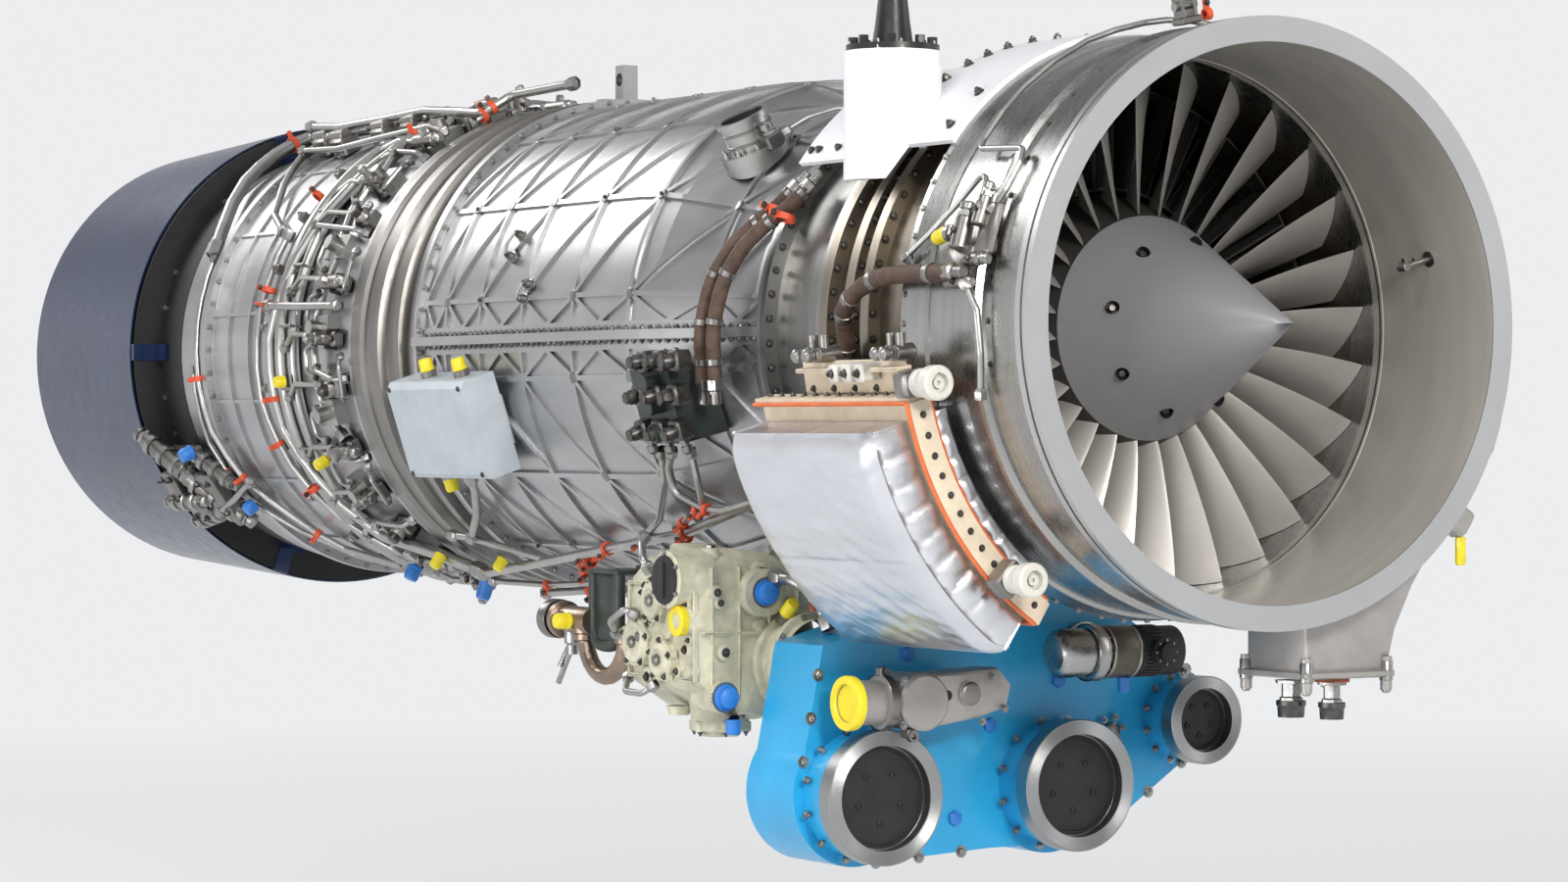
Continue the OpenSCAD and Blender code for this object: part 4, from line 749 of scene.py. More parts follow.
# Painted shade in the shroud: its inside painted black, black bulkheads in its mouth with slots for the
# actuator rods, and the jet pipe's rear cone painted black, all standing for the deep shade there.
# The shroud's inner skin, painted black as the shade inside it.
inside = Bag("shroud_inside_shade", M["painted_shade_black"], slot="flap_dark")
# Station and radius of the shroud's inner skin at its mouth and its end.
SHROUD = ((2831, 427.6), (3349, 404.6))
inside.ring_skin([hoop(y, r, 96, -1) for y, r in SHROUD])
inside.done()
mouth_shade = Bag("shroud_mouth_shade", M["painted_shade_black"], slot="flap_dark")
# Bulkheads in the mouth, painted black as the shade there.
for t0, t1 in ((-34, 106), (110, 250), (254, 322)):
    arc = between(t0, t1, 60)
    for y, low in ((2819, 373.5), (2840, 390)):
        mouth_shade.ring_skin([[spot(t, yy, r) for t in arc]
                          for yy, r in ((y, low), (y, 426.6), (y + 3, 426.6), (y + 3, low), (y, low))],
                         closed=False)
# The jet pipe's rear cone, painted black as the shade inside the shroud.
mouth_shade.ring_skin([hoop(y, r, 96) for y, r in ((2817.5, 374.6), (2691, 390.6), (2688, 390.9), (2688, 390.2))])
mouth_shade.done()

# The light grey box.
# Clock angle, station and radius of its middle, and the offsets of its lid's bolts from there.
GREY_T, GREY_Y, GREY_R = -18, 1560, 437
BOLTS_ROUND, BOLTS_LONG, BOLTS_HIGH = 70, 120, 31.5
c = spot(GREY_T, GREY_Y, GREY_R)
rise, turn = out(GREY_T), along(GREY_T)
for side in (-1, 1):
    for end in (-1, 1):
        blacks.bolt(c + turn * BOLTS_ROUND * side + AFT * BOLTS_LONG * end + rise * BOLTS_HIGH, rise, 3.4, 3)
for q in (-0.36, 0.2):
    p = spot(-7, GREY_Y + q * 200, 440)
    fits.lathe(p, turn, [(13, -16), (13, 6), (10, 8), (0, 8)], 16)
    cap(yellows, p + turn * 6, turn, 12, 20)
p = spot(-29, 1640, 436)
fits.lathe(p, -turn, [(13, -10), (13, 8), (0, 8)], 16)
cap(yellows, p - turn * 7, -turn, 12, 22)
run([(-29, 1560, 440), (-33, 1570, 440), (-40, 1640, 430), (-48, 1740, 430)], 7)
for q in range(5):
    fits.block(c + AFT * (-130 + 2) + turn * (-60 + q * 30), turn, FORE, (4, 40, 3), 0.8)

# The control box: blankets, seals, bolts and plugs.
# The clock angles and stations that the blankets span, and the radii of the frame's strip and its bolts.
BLANKET_SPAN = (-56, -16, 203, 562)
STRIP_LOW, STRIP_HIGH, STRIP_BOLTS = 436, 469, 452
for title, r0, r1 in (("foil_outer", 459, 544), ("foil_inner", 402, 446)):
    o = foil_box(title, r0, r1, *BLANKET_SPAN).done(angle=60, replaces=("control_box",))
strip = Bag("frame_strip", M["frame_cream"], slot="frame_cream")
for t0, t1, y0, y1 in ((-57, -13, 186.5, 193.5), (-13.1, -12.1, 190, 568), (-57.9, -56.9, 190, 568)):
    arc = between(t0, t1, 24)
    strip.ring_skin([[spot(t, y, r) for t in arc]
                     for y, r in ((y0, STRIP_LOW), (y0, STRIP_HIGH), (y1, STRIP_HIGH), (y1, STRIP_LOW),
                                  (y0, STRIP_LOW))], closed=False)
    for t in (t0, t1):
        strip.plate([spot(t, y0, STRIP_LOW), spot(t, y0, STRIP_HIGH), spot(t, y1, STRIP_HIGH),
                     spot(t, y1, STRIP_LOW)], along(t), 0.2)
strip.done()
seal = Bag("seals", M["seal_orange"], slot="hose_brown")
for rr in (434, 471):
    seal.tube([spot(t, 190, rr) for t in between(-56.5, -13, 16)], 3.2, 8, 5)
    seal.tube([spot(-13, y, rr) for y in between(190, 570, 4)], 3.0, 8, 5)
    seal.tube([spot(-57, y, rr) for y in between(190, 570, 4)], 3.0, 8, 5)
seal.done()
for k in range(12):
    t = -55 + k * 3.6
    blacks.bolt(spot(t, 186.5, STRIP_BOLTS), FORE, 3.6, 3.6, 2)
for k in range(13):
    blacks.bolt(spot(-12.1, 205 + k * 29, STRIP_BOLTS), along(-12), 3.6, 3.6, 2)
for t, y, r in ((-10.1, 132, 452), (-46.3, 99, 462)):
    p = spot(t, y + 60, r)
    whites.lathe(p, FORE, [(15, 0), (15, 12), (19, 13), (19, 20), (17, 21), (17, 26), (19, 27), (19, 33),
                           (17, 34), (17, 38), (23, 40), (23, 56), (20, 59), (13, 59), (13, 50), (0, 50)], 28)
    whites.lathe(p + FORE * 50, FORE, [(7, 0), (7, 5), (3, 5), (3, 1), (0, 1)], 16)
    fits.block(p + AFT * 4, along(t), out(t), (34, 30, 44), 3)

# Bolts round the foot of the bleed port, and its inside painted black as the shade in the port.
PORT_DIR = out(62)
PORT = spot(48, 920, 357.8)
port_side = PORT_DIR.cross(AFT).normalized()
port_shade_bore = Bag("port_inside_shade", M["painted_shade_black"], slot="steel_dark")
port_shade_bore.lathe(PORT + PORT_DIR * 20.4, PORT_DIR, [(0, 0), (32.6, 0.2), (32.6, 39)], 40)
port_shade_bore.done()
for c, s in circle(10, 8):
    nuts.bolt(PORT + (AFT * c + port_side * s) * 48 + PORT_DIR * 14, PORT_DIR, 4.4, 5, 4)
for q in (22, 40):
    fits.lathe(PORT + PORT_DIR * q, PORT_DIR, [(37.4, 0), (38.4, 0.6), (38.4, 4), (37.4, 4.6)], 40)
fits.block(PORT - AFT * 52 + PORT_DIR * 18, AFT, PORT_DIR, (26, 30, 22), 3)
union(PORT - AFT * 52 + PORT_DIR * 28, PORT_DIR, 8, 20)
run([(52, 868, 372), (58, 850, 372), (64, 830, 366), (70, 800, 350)], 5)

# Small valves and the white blocks above the box.
tray = Bag("tray", M["frame_cream"], slot="frame_cream")
tray.block(spot(-9, 350, 440), along(-9), out(-9), (44, 250, 6), 2)
tray.block(spot(-7.6, 340, 450), along(-9), out(-9), (6, 250, 26), 2)
tray.done()
for k in range(5):
    blacks.bolt(spot(-11, 245 + k * 52, 443), out(-11), 4, 4, 2)
for k in range(3):
    p = spot(-8, 290 + k * 32, 446)
    whites.block(p + out(-8) * 14, along(-8), out(-8), (24, 22, 30), 3)
    blacks.bolt(p + out(-8) * 28, out(-8), 5, 6, 3)
for y, length in ((218, 30), (244, 26), (400, 34), (432, 30)):
    p = spot(-5, y, 432)
    fits.rod(p, p + out(-5) * length, 12, 16, 10, 2)
    union(p + out(-5) * length, out(-5), 8, 22)
    fits.rod(p + out(-5) * length * 0.6, p + out(-5) * length * 0.6 + along(-5) * 26, 7, 12)

# Sleeved hoses.
hose = Bag("hoses_sleeved", M["hose_brown"], slot="hose_brown")
hose_bands = Bag("hose_bands", M["titanium"], slot="pipe_steel")


def sleeved(points, r, bands):
    path = smooth_path([spot(*p) for p in points], 10)
    wob = [rnd.uniform(-0.04, 0.05) for _ in range(len(path))]
    hose.tube(path, r, 14, 0.1, 1, sizes=lambda f: 1 + wob[min(len(path) - 1, int(f * (len(path) - 1)))])
    for f in bands:
        i = min(len(path) - 2, int(f * (len(path) - 1)))
        d = (path[i + 1] - path[i]).normalized()
        hose_bands.lathe(path[i] - d * 5, d, [(r + 0.4, 0), (r + 1.8, 0.8), (r + 1.8, 9), (r + 0.4, 10)], 16)
    for p, q in ((path[0], path[3]), (path[-1], path[-4])):
        d = (p - q).normalized()
        nuts.lathe(p - d * 6, d, [(r * 0.9, 0), (r * 1.12, 2), (r * 1.12, 16), (r * 0.8, 18), (r * 0.8, 22)],
                   6)
        fits.lathe(p + d * 12, d, [(r * 0.75, 0), (r * 0.75, 18), (r * 0.6, 20), (0, 20)], 14)


for d in (0, 34):
    sleeved([(34, 690 + d, 360), (29, 706 + d, 364), (24, 738 + d, 370), (18, 772 + d, 376),
             (10, 796 + d, 380), (0, 808 + d, 382), (-11, 812 + d, 384)], 11, (0.06, 0.3, 0.62, 0.8, 0.94))
sleeved([(-6, 462, 378), (-3, 452, 384), (1, 440, 396), (4, 412, 410), (7, 360, 420), (8.6, 290, 424),
         (8.6, 150, 424)], 12, (0.08, 0.4, 0.55, 0.75, 0.96))
hose.done(replaces=("hoses",))
hose_bands.done()
clamp(spot(25.9, 700, 366), along(20), 12, out(26))
clamp(spot(28, 735, 366), along(20), 12, out(26))

# Fittings of the fan case.
run([(150, 205, 412), (120, 205, 414), (96, 205, 414), (78, 180, 414), (66, 196, 414), (50, 205, 410),
     (36, 204, 408), (34, 198, 408), (33.4, 140, 410), (33, 92, 410), (30, 84, 410), (24, 90, 410),
     (20, 104, 410)], 4.2, bend=14)
p = spot(77, 78, 408)
fits.block(p + out(77) * 2, along(77), out(77), (34, 26, 10), 2)
for sign in (-1, 1):
    fits.block(p + out(77) * 18 + along(77) * 10 * sign, along(77), out(77), (5, 22, 30), 1.5)
nuts.rod(p + out(77) * 22 - along(77) * 18, p + out(77) * 22 + along(77) * 18, 6, 12)
clamp(spot(82, 80, 414), along(80), 5, out(82))
# Fittings cluster near the top hose end, with its yellow cap.
for t, y, ax, r, length in ((16, 150, along(16), 13, 44), (20, 118, along(20), 10, 40),
                            (11, 112, FORE, 9, 30), (7, 140, FORE, 9, 26)):
    p = spot(t, y, 416)
    fits.rod(p - ax * length / 2, p + ax * length / 2, r, 18, r, 2)
    union(p + ax * length / 2, ax, r * 0.75, 20)
    blacks.bolt(p + out(t) * (r - 1), out(t), 4, 5, 2)
fits.block(spot(17, 104, 407), along(17), out(17), (70, 34, 12), 3)
fits.block(spot(10, 150, 408), along(10), out(10), (54, 60, 14), 3)
cap(yellows, spot(16, 180, 418), (AFT * 0.8 - along(16) * 0.2).normalized(), 11, 26)
union(spot(16, 158, 418), AFT, 10, 24)
run([(20, 118, 420), (26, 120, 424), (27, 150, 416), (22, 190, 410), (16, 240, 410), (12, 280, 412)], 4.2)
run([(7, 120, 420), (2, 100, 412), (-6, 96, 410), (-14, 110, 410)], 5)
# T-shaped probe inside the intake.
q = Vector((352.0, 118.0, 96.0))
inwards = Vector((-q.x, 0, -q.z)).normalized()
base = Vector((q.x, 0, q.z)).normalized() * 369.4 + Vector((0, q.y, 0))
blacks.lathe(base, inwards, [(11, 0), (11, 1.5), (0, 1.5)], 20)
nuts.rod(base, base + inwards * 46, 4.2, 12)
nuts.rod(base + inwards * 46 + FORE * 9, base + inwards * 46 + AFT * 9, 6.5, 14, lip=1)
for y in (150, 172):
    blacks.lathe(Vector((base.x, y, base.z)), inwards, [(3, 0), (3, 0.8), (0, 0.8)], 10)
# The grey lining of the fan case's bore, with a black band behind it painted as the shade in the seam.
lining = Bag("bore_lining", M["bore_grey"], slot="case_grey")
lining_profile = [(369.8, 1.5), (369.2, 3), (369.2, 228), (368.2, 229), (368.2, 233), (369.2, 234),
                  (369.2, 250)]
rings = [hoop(y, r, 128) for r, y in lining_profile]
lining.ring_skin([list(reversed(g)) for g in rings])
lining.done()
seam = Bag("bore_seam_shade", M["painted_shade_black"], slot="steel_dark")
seam.ring_skin([hoop(y, 369.0, 128, -1) for y in (234.5, 237.5)])
seam.done()

# Pockets of the spinner painted black inside as their shade, each with its bolt.
SPINNER_FRONT, SPINNER_LEN, SPINNER_R, POCKET_R = -31, 315, 154, 118
pockets = Bag("spinner_pockets", M["painted_shade_black"], body="fan_spool", slot="steel_dark")
pocket_bolts = Bag("spinner_bolts", M["bolt_dark"], body="fan_spool", slot="pipe_steel")
for k in range(8):
    t = 12 + k * 45
    axis = (out(t) * 0.5 + FORE * math.sin(math.radians(60))).normalized()
    c = spot(t, SPINNER_FRONT + SPINNER_LEN * POCKET_R / SPINNER_R, POCKET_R)
    pockets.lathe(c, axis, [(0, -8.6), (8.7, -8.6), (8.7, 2.4)], 24)
    pocket_bolts.lathe(c, axis, [(5, -8.5), (5, -3), (4, -2), (2.6, -2), (2.6, -4.5), (0, -4.5)], 12)
pockets.done()
pocket_bolts.done()

# The fan's blades: the same form as the solids, with more sections and smooth faces.
def blade_point(f, c, side):
    """The point at share f of the blade's height and share c of its chord, on one side of the blade."""
    stagger = math.radians(24 + 28 * f ** 0.8)
    axial = 76 * (1 - 0.28 * f) + 5 * math.sin(math.pi * f)
    start = 268 + 18 * (1 - f) ** 1.5
    chord = axial / math.cos(stagger)
    camber = 0.07 * chord * (1 - 0.5 * f) * math.sin(math.pi * c)
    thick = side * 3 * (1 - 0.55 * f) * math.sin(math.pi * c ** 0.8) ** 0.8 if 0 < c < 1 else 0
    across = camber + thick
    x = (c - 0.5) * chord * math.sin(stagger) + across * math.cos(stagger)
    y = start + axial * c - across * math.sin(stagger)
    root = lookup(HUB, y) + 0.2
    r = root + (lookup(PATH, y) - 1 - root) * f
    return x, y, math.sqrt(r * r - x * x)


BLADES = 28
SECTIONS = 18
blades = Bag("fan_blades_smooth", M["fan_metal"], body="fan_spool", slot="titanium")
CHORDS = (0.0, 0.02, 0.07, 0.16, 0.3, 0.5, 0.7, 0.86, 0.96, 1.0)
SECTION = [(c, 1) for c in CHORDS] + [(c, -1) for c in CHORDS[-2:0:-1]]
for i in range(BLADES):
    t = 90 + i * 360 / BLADES
    rise, turn = out(t), along(t)
    loops = []
    for k in range(SECTIONS + 1):
        loops.append([turn * x + Vector((0, y, 0)) + rise * z
                      for x, y, z in (blade_point(k / SECTIONS, c, side) for c, side in SECTION)])
    blades.ring_skin([[sum(loops[0], Vector()) / len(SECTION)]] + loops + [[sum(loops[-1],
                                                                                Vector()) / len(SECTION)]])
blades.done(angle=50, replaces=("fan_blades",))

# Bolts of the hanger, on its saddle.
HANGER_R = 408.5
saddle_bolts = Bag("hanger_bolts", M["bolt_dark"], slot="rod_black")
for t in (41, 46, 51, 57, 63, 68, 73, 79, 85, 92, 100, 108, 116, 123):
    saddle_bolts.bolt(spot(t, 450, HANGER_R), out(t), 5.6, 6, 3)
for t in (41, 50, 88, 98, 108, 118):
    saddle_bolts.bolt(spot(t, 312, HANGER_R), out(t), 5.6, 6, 3)
for y in (520, 570, 620, 640):
    saddle_bolts.bolt(spot(38, y, HANGER_R), out(38), 5, 5, 2)
saddle_bolts.done()
for k, (x, y) in enumerate(circle(12, 8, 60)):
    if k % 3:
        nuts.bolt(Vector((-308 + x, 455 + y, 376)), UP, 4.5, 6, 8)

# Bolts of the gearbox, its pads and covers.
# X, Z, outer radius and bore of each pad.
PADS = ((-286, -648, 94, 73), (43, -645, 94, 73), (268, -560, 64, 46))
COVER_FACE = 518.0
GEARBOX_FRONT = 580.0
GEARBOX_EDGE = ((-380, -640), (-340, -440), (-90, -372), (130, -372), (330, -520), (322, -600), (120, -735),
                (-60, -735), (-300, -748))
PAD_SEAT = 500
PAD_T = 26
turned_pads = Bag("pads_turned", M["pad_ring"], slot="machined_ring")
for x, z, r, b in PADS:
    profile = [(b - 2, 0), (b - 2, 8), (b, 8), (b, PAD_T - 0.6), (b + 0.6, PAD_T)]
    grooves = int((r - b - 3) / 1.5)
    for k in range(grooves):
        edge = b + 1.2 + 1.5 * k
        profile += [(edge, PAD_T), (edge + 0.75, PAD_T - 0.32)]
    profile += [(r - 1.2, PAD_T), (r, PAD_T - 1.2), (r, 0)]
    turned_pads.lathe(Vector((x, PAD_SEAT + PAD_T, z)), FORE, profile, 96)
turned_pads.done(angle=16, replaces=("gearbox_pads",))
case_bolts = Bag("gearbox_bolts", M["bolt_bright"], slot="pipe_steel")
covers = Bag("cover_rims", M["cover_black"], slot="cover_black")
for x, z, r, b in PADS:
    face = Vector((x, COVER_FACE, z))
    covers.lathe(face, FORE, [(b - 2, 0), (b - 2, 2.4), (b - 7, 2.8), (b - 8, 0.6), (0, 0.6)], 48)
    for c, s in circle(5, 54):
        covers.lathe(face + Vector((c, 0, s)) * b * 0.5, FORE,
                     [(5, 0), (5, 2.2), (3.8, 3.0), (2, 3.0), (2, 1.6), (0, 1.6)], 14)
    for dx, dz in circle(12, 15, r - 2):
        case_bolts.bolt(Vector((x + dx, 540, z + dz)) + AFT * 26, FORE, 4.6, 5, 3)
for k in (0, 1, 3, 5, 7):
    (xa, za), (xb, zb) = GEARBOX_EDGE[k], GEARBOX_EDGE[k + 1]
    for f in (0.2, 0.5, 0.8):
        p = Vector((xa + (xb - xa) * f, GEARBOX_FRONT, za + (zb - za) * f))
        case_bolts.lathe(p, FORE, [(9, 0), (9, 1.2), (0, 1.2)], 16)
        case_bolts.bolt(p + FORE * 1.2, FORE, 6, 5.5, 4, washer=False)
for x, z, r in ((-160, -520, 40), (150, -575, 26)):
    front = GEARBOX_FRONT - (10 if r > 30 else 8)
    for dx, dz in circle(6, 10, r * 0.78):
        case_bolts.bolt(Vector((x + dx, front, z + dz)), FORE, 3.6, 3.6, 2)
    fits.lathe(Vector((x, front, z)), FORE, [(r * 0.5, 0), (r * 0.5, 5), (r * 0.36, 7), (0, 7)], 6)
for x, z in ((-240, -560), (-60, -560), (-120, -690), (170, -650), (60, -500), (220, -470), (-200, -455)):
    p = Vector((x, GEARBOX_FRONT, z))
    blues.lathe(p, FORE, [(11, 0), (11, 5), (8, 6.5), (0, 6.5)], 6)
case_bolts.done()
covers.done()

# The starter: a bright body, a brown drum and a black knurled end.
STARTER = Vector((-6, 500, -456))
body = Bag("starter_body", M["fan_silver"], slot="case_grey")
body.lathe(STARTER, RIGHT, [(0, 0), (24, 0), (26, 1), (34, 8), (35, 10), (35, 56), (40, 57), (41, 58),
                            (41, 72), (40, 74), (32, 74), (32, 80), (37, 81), (37, 131), (31, 132), (31, 136),
                            (35, 137), (35, 207), (34, 208), (0, 208)], 56)
body.lathe(STARTER + RIGHT * 106, AFT, [(30, 0), (30, 66), (40, 68), (40, 79.8)], 40)
body.lathe(STARTER + RIGHT * 165, FORE, [(20, 20), (20, 46), (12, 46), (12, 54), (0, 54)], 32)
body.done(replaces=("starter",))
drum = Bag("starter_drum", M["brown_drum"], slot="case_grey")
drum.lathe(STARTER, RIGHT, [(37.2, 81), (37.6, 82), (37.6, 131), (37.2, 132)], 48)
drum.done()
for q, r in ((57, 41.4), (71, 41.4), (83, 38.4), (128, 38.4)):
    nuts.lathe(STARTER + RIGHT * q, RIGHT, [(r - 0.6, -1.5), (r, -0.5), (r, 1.5), (r - 0.6, 2.5)], 48)
for dy, dz in circle(10, 0, 36):
    blacks.bolt(STARTER + Vector((73.5, dy, dz)), RIGHT, 3.4, 4, 2)
black_end = Bag("starter_end", M["cover_black"], slot="cover_black")
black_end.lathe(STARTER, RIGHT, [(35.2, 137), (35.6, 138), (35.6, 207), (35.2, 208.4), (20, 208.6),
                                 (0, 208.6)], 48)
for c, s in circle(36):
    n = Vector((0, c, s))
    black_end.block(STARTER + RIGHT * 158 + n * 36, RIGHT, n, (34, 3.2, 3.2), 0.8)
black_end.lathe(STARTER + FORE * 45.8 + RIGHT * 165, FORE,
                [(21, -12), (21, 0.4), (15, 1), (13.4, 1), (13.4, 8.6), (9, 9.4), (0, 9.4)], 32)
for c, s in circle(8):
    p = STARTER + FORE * 46.6 + RIGHT * (165 + 17 * c) + UP * 17 * s
    nuts.bolt(p, FORE, 2.2, 2.4, 1, washer=False)
black_end.done()
blues.rod(STARTER + Vector((118, -8, -36)), STARTER + Vector((118, -8, -58)), 9, 14, 8, 1)
nuts.bolt(Vector((225, 499, -488)), FORE, 7, 6, 4)

# The air pipe with its fork: a yellow rim in its mouth, bands, a black disc painted as the hole's shade, and
# its lug.
ELBOW = Vector((-352, 500, -515))


def prism(bag, loop, y0, y1, bevel):
    """A casting's block: an outline in X and Z drawn along Y, with its edges rounded off."""
    mid = sum((Vector((x, 0, z)) for x, z in loop), Vector()) / len(loop)

    def at(y, cut):
        pts = []
        for x, z in loop:
            d = Vector((x, 0, z)) - mid
            pts.append(mid + d * (1 - cut / max(d.length, 1)) + Vector((0, y, 0)))
        return pts

    bag.ring_skin([[mid + Vector((0, y0, 0))], at(y0, bevel), at(y0 + bevel * 0.3, bevel * 0.3),
                   at(y0 + bevel, 0), at(y1 - bevel, 0), at(y1 - bevel * 0.3, bevel * 0.3), at(y1, bevel),
                   [mid + Vector((0, y1, 0))]])


air = Bag("air_pipe", M["cast_grey"], slot="case_grey")
air.lathe(ELBOW, RIGHT, [(26, 78), (26, 0), (37, 0), (37, 11), (31, 12), (31, 51), (38, 52), (38, 63),
                         (31, 64), (31, 110)], 48)
air.lathe(ELBOW + RIGHT * 78, RIGHT, [(0, 0), (26, 0)], 48)
air.lathe(Vector((-245, 464, -515)), AFT, [(0, 0), (36, 0), (40, 4), (40, 68), (36, 72), (0, 72)], 48)
prism(air, [(-245, -477), (-118, -471), (-96, -495), (-104, -527), (-150, -541), (-245, -553)], 468, 532, 10)
air.lathe(Vector((-172, 462, -505)), AFT, [(0, 0), (18, 0), (18, 10)], 28)
air.lathe(Vector((-200, 500, -515)), AFT, [(26, 20), (26, 67), (34, 68), (34, 79.8)], 40)
air.done(replaces=("bleed_elbow",))
# A black disc painted in the hole as its shade.
hole = Bag("air_pipe_hole_shade", M["painted_shade_black"], slot="steel_dark")
hole.lathe(Vector((-207, 467.6, -507)), FORE, [(7.4, 0), (7.4, 0.5), (0, 0.5)], 24)
hole.done()
yellows.lathe(ELBOW, LEFT, [(37.4, -10), (38.4, 0), (37, 3.4), (27.6, 3.4), (26.2, 0), (26.2, -16),
                            (25.6, -16), (25.6, -2), (0, -1)], 40)
fits.lathe(ELBOW + RIGHT * 57, RIGHT, [(38.2, -7), (39.2, -6), (39.2, 6), (38.2, 7)], 40)
fits.block(ELBOW + RIGHT * 57 + UP * 42, RIGHT, UP, (12, 16, 14), 2)
blacks.bolt(ELBOW + RIGHT * 57 + UP * 43 + FORE * 8, FORE, 4, 16, 2)
for x, z in ((-283, -484), (-283, -546), (-132, -482), (-112, -528), (-150, -545)):
    nuts.bolt(Vector((x, 466 if x > -200 else 463, z)), FORE, 4.2, 4.4, 2)
fits.lathe(Vector((-172, 462, -505)), FORE, [(17, 0), (15, 2.5), (12, 3.4), (0, 3.4)], 28)
fits.block(Vector((-262, 482, -558)), RIGHT, UP, (16, 22, 14), 2)
fits.lathe(Vector((-262, 472, -562)), FORE, [(8, -4), (8, 4), (4, 4), (4, -4)], 18)

# The fuel control: ribs, small bosses, plugs, round covers and its pipes.
# X of the casting's outer side.
SIDE = -425.0
cream = Bag("fuel_bosses", M["casting_cream"], slot="casting_cream")
dark_lids = Bag("fuel_lids", M["cover_black"], slot="cover_black")
prism(cream, [(SIDE, -352), (-398, -324), (-350, -310), (-292, -318), (-240, -352), (-222, -430),
              (-226, -500), (-268, -548), (-320, -556), (-372, -540), (SIDE, -505), (SIDE - 6, -430)], 775,
      980, 22)
cream.lathe(Vector((-262, 706, -475)), AFT,
            [(66, 0), (66, 14), (75, 15), (76, 16), (76, 25), (75, 26), (66, 27), (66, 56), (75, 57),
             (76, 58), (76, 68), (66, 70)], 56)
cream.lathe(Vector((-335, 978, -432)), AFT,
            [(72, 0), (72, 33), (68, 36), (52, 36), (52, 45), (48, 48), (0, 48)], 48)
for y, z, proud, r in ((818, -354, 30, 40), (800, -412, 22, 21), (886, -386, 14, 32), (940, -448, 12, 36),
                       (858, -470, 18, 30)):
    cream.lathe(Vector((SIDE + 30, y, z)), LEFT,
                [(r + 5, 0), (r + 5, 24), (r, 32), (r, proud + 28), (r - 2, proud + 30), (0, proud + 30)], 36)
for x, y, z, r, h in ((-345, 850, -574, 42, 60), (-345, 850, -582, 30, 20), (-296, 930, -566, 34, 60)):
    cream.lathe(Vector((x, y, z)), UP, [(0, 0), (r - 3, 0), (r, 3), (r, 16), (r + 6, h)], 36)
cream.lathe(Vector((-350, 915, -306)), DOWN, [(0, 0), (32, 0), (36, 4), (36, 60)], 36)
cream.lathe(Vector((-392, 757, -520)), AFT, [(0, 0), (22, 0), (22, 60)], 30)
cream.lathe(Vector((-330, 749, -372)), AFT, [(0, 0), (34, 0), (34, 46)], 36)
cream.lathe(Vector((-400, 976, -445)), AFT, [(18, 0), (16, 52)], 30)
lid = Vector((SIDE - 30, 818, -354))
cream.lathe(lid, LEFT, [(41, -4), (41.5, -1), (39, 1.2), (34, 1.2)], 40)
dark_lids.lathe(lid, LEFT, [(35, -1), (35, 3.4), (30, 4.6), (0, 4.6)], 40)
dark_lids.block(lid + LEFT * 6, UP, LEFT, (52, 9, 5), 1.5)
for dy, dz in circle(6, 30, 37.4):
    nuts.bolt(lid + LEFT + Vector((0, dy, dz)), LEFT, 3, 3.4, 1.5)
port = Vector((SIDE - 22, 800, -412))
yellows.lathe(port, LEFT, [(21.6, -9), (22, 1.6), (19, 2.6), (12.4, 2.6), (11.8, 0), (11.8, -18), (0, -18)],
              32)
for y, z, proud, r in ((886, -386, 14, 32), (940, -448, 12, 36), (858, -470, 18, 30)):
    c = Vector((SIDE - proud, y, z))
    cream.lathe(c, LEFT, [(r - 5, 0), (r - 7, 3.4), (r - 14, 4), (r - 16, 2), (0, 2)], 32)
    for dy, dz in circle(5, 20, r - 1):
        cream.lathe(c + Vector((2, dy, dz)), LEFT, [(7, -8), (7, 2), (0, 2)], 14)
        blacks.bolt(c + Vector((0, dy, dz)), LEFT, 3.4, 3.6, 2)
    fits.lathe(c + LEFT * 2, LEFT, [(9, 0), (9, 5), (6, 7), (0, 7)], 6)


def boss_field(count, place, normal, sizes):
    """Small cast bosses, some with bolts and some with plugs, spread at random over a face."""
    for _ in range(count):
        p = place(rnd.random(), rnd.random())
        r = rnd.uniform(*sizes)
        h = rnd.uniform(4, 13)
        cream.lathe(p - normal * 3, normal,
                    [(r + 2.5, 0), (r, h * 0.5 + 3), (r, h + 2), (r - 1.5, h + 3), (0, h + 3)], 18)
        if rnd.random() < 0.6:
            blacks.bolt(p + normal * h, normal, r * 0.42, 4, 2)
        elif rnd.random() < 0.5:
            fits.lathe(p + normal * h, normal, [(r * 0.62, 0), (r * 0.62, 4), (r * 0.4, 5), (0, 5)], 6)


boss_field(22, lambda u, v: Vector((SIDE, 785 + 188 * u, -500 + 145 * v)), LEFT, (7, 14))
boss_field(12, lambda u, v: Vector((-410 + 150 * u, 775, -520 + 180 * v)), FORE, (8, 15))
boss_field(10, lambda u, v: Vector((-395 + 110 * u, 785 + 180 * v, -542)), DOWN, (8, 16))
boss_field(8, lambda u, v: Vector((-390 + 90 * u, 790 + 170 * v, -322)), UP, (8, 14))
for y in (782, 846, 905, 968):
    cream.block(Vector((SIDE - 2, y, -430)), UP, LEFT, (140, 5, 9), 2)
for z in (-362, -432, -496):
    cream.block(Vector((SIDE - 2, 878, z)), AFT, LEFT, (190, 5, 8), 2)
for x in (-405, -360, -310, -262):
    cream.block(Vector((x, 773, -430)), UP, FORE, (190, 5, 8), 2)
cream.block(Vector((-330, 773, -430)), RIGHT, FORE, (180, 5, 8), 2)
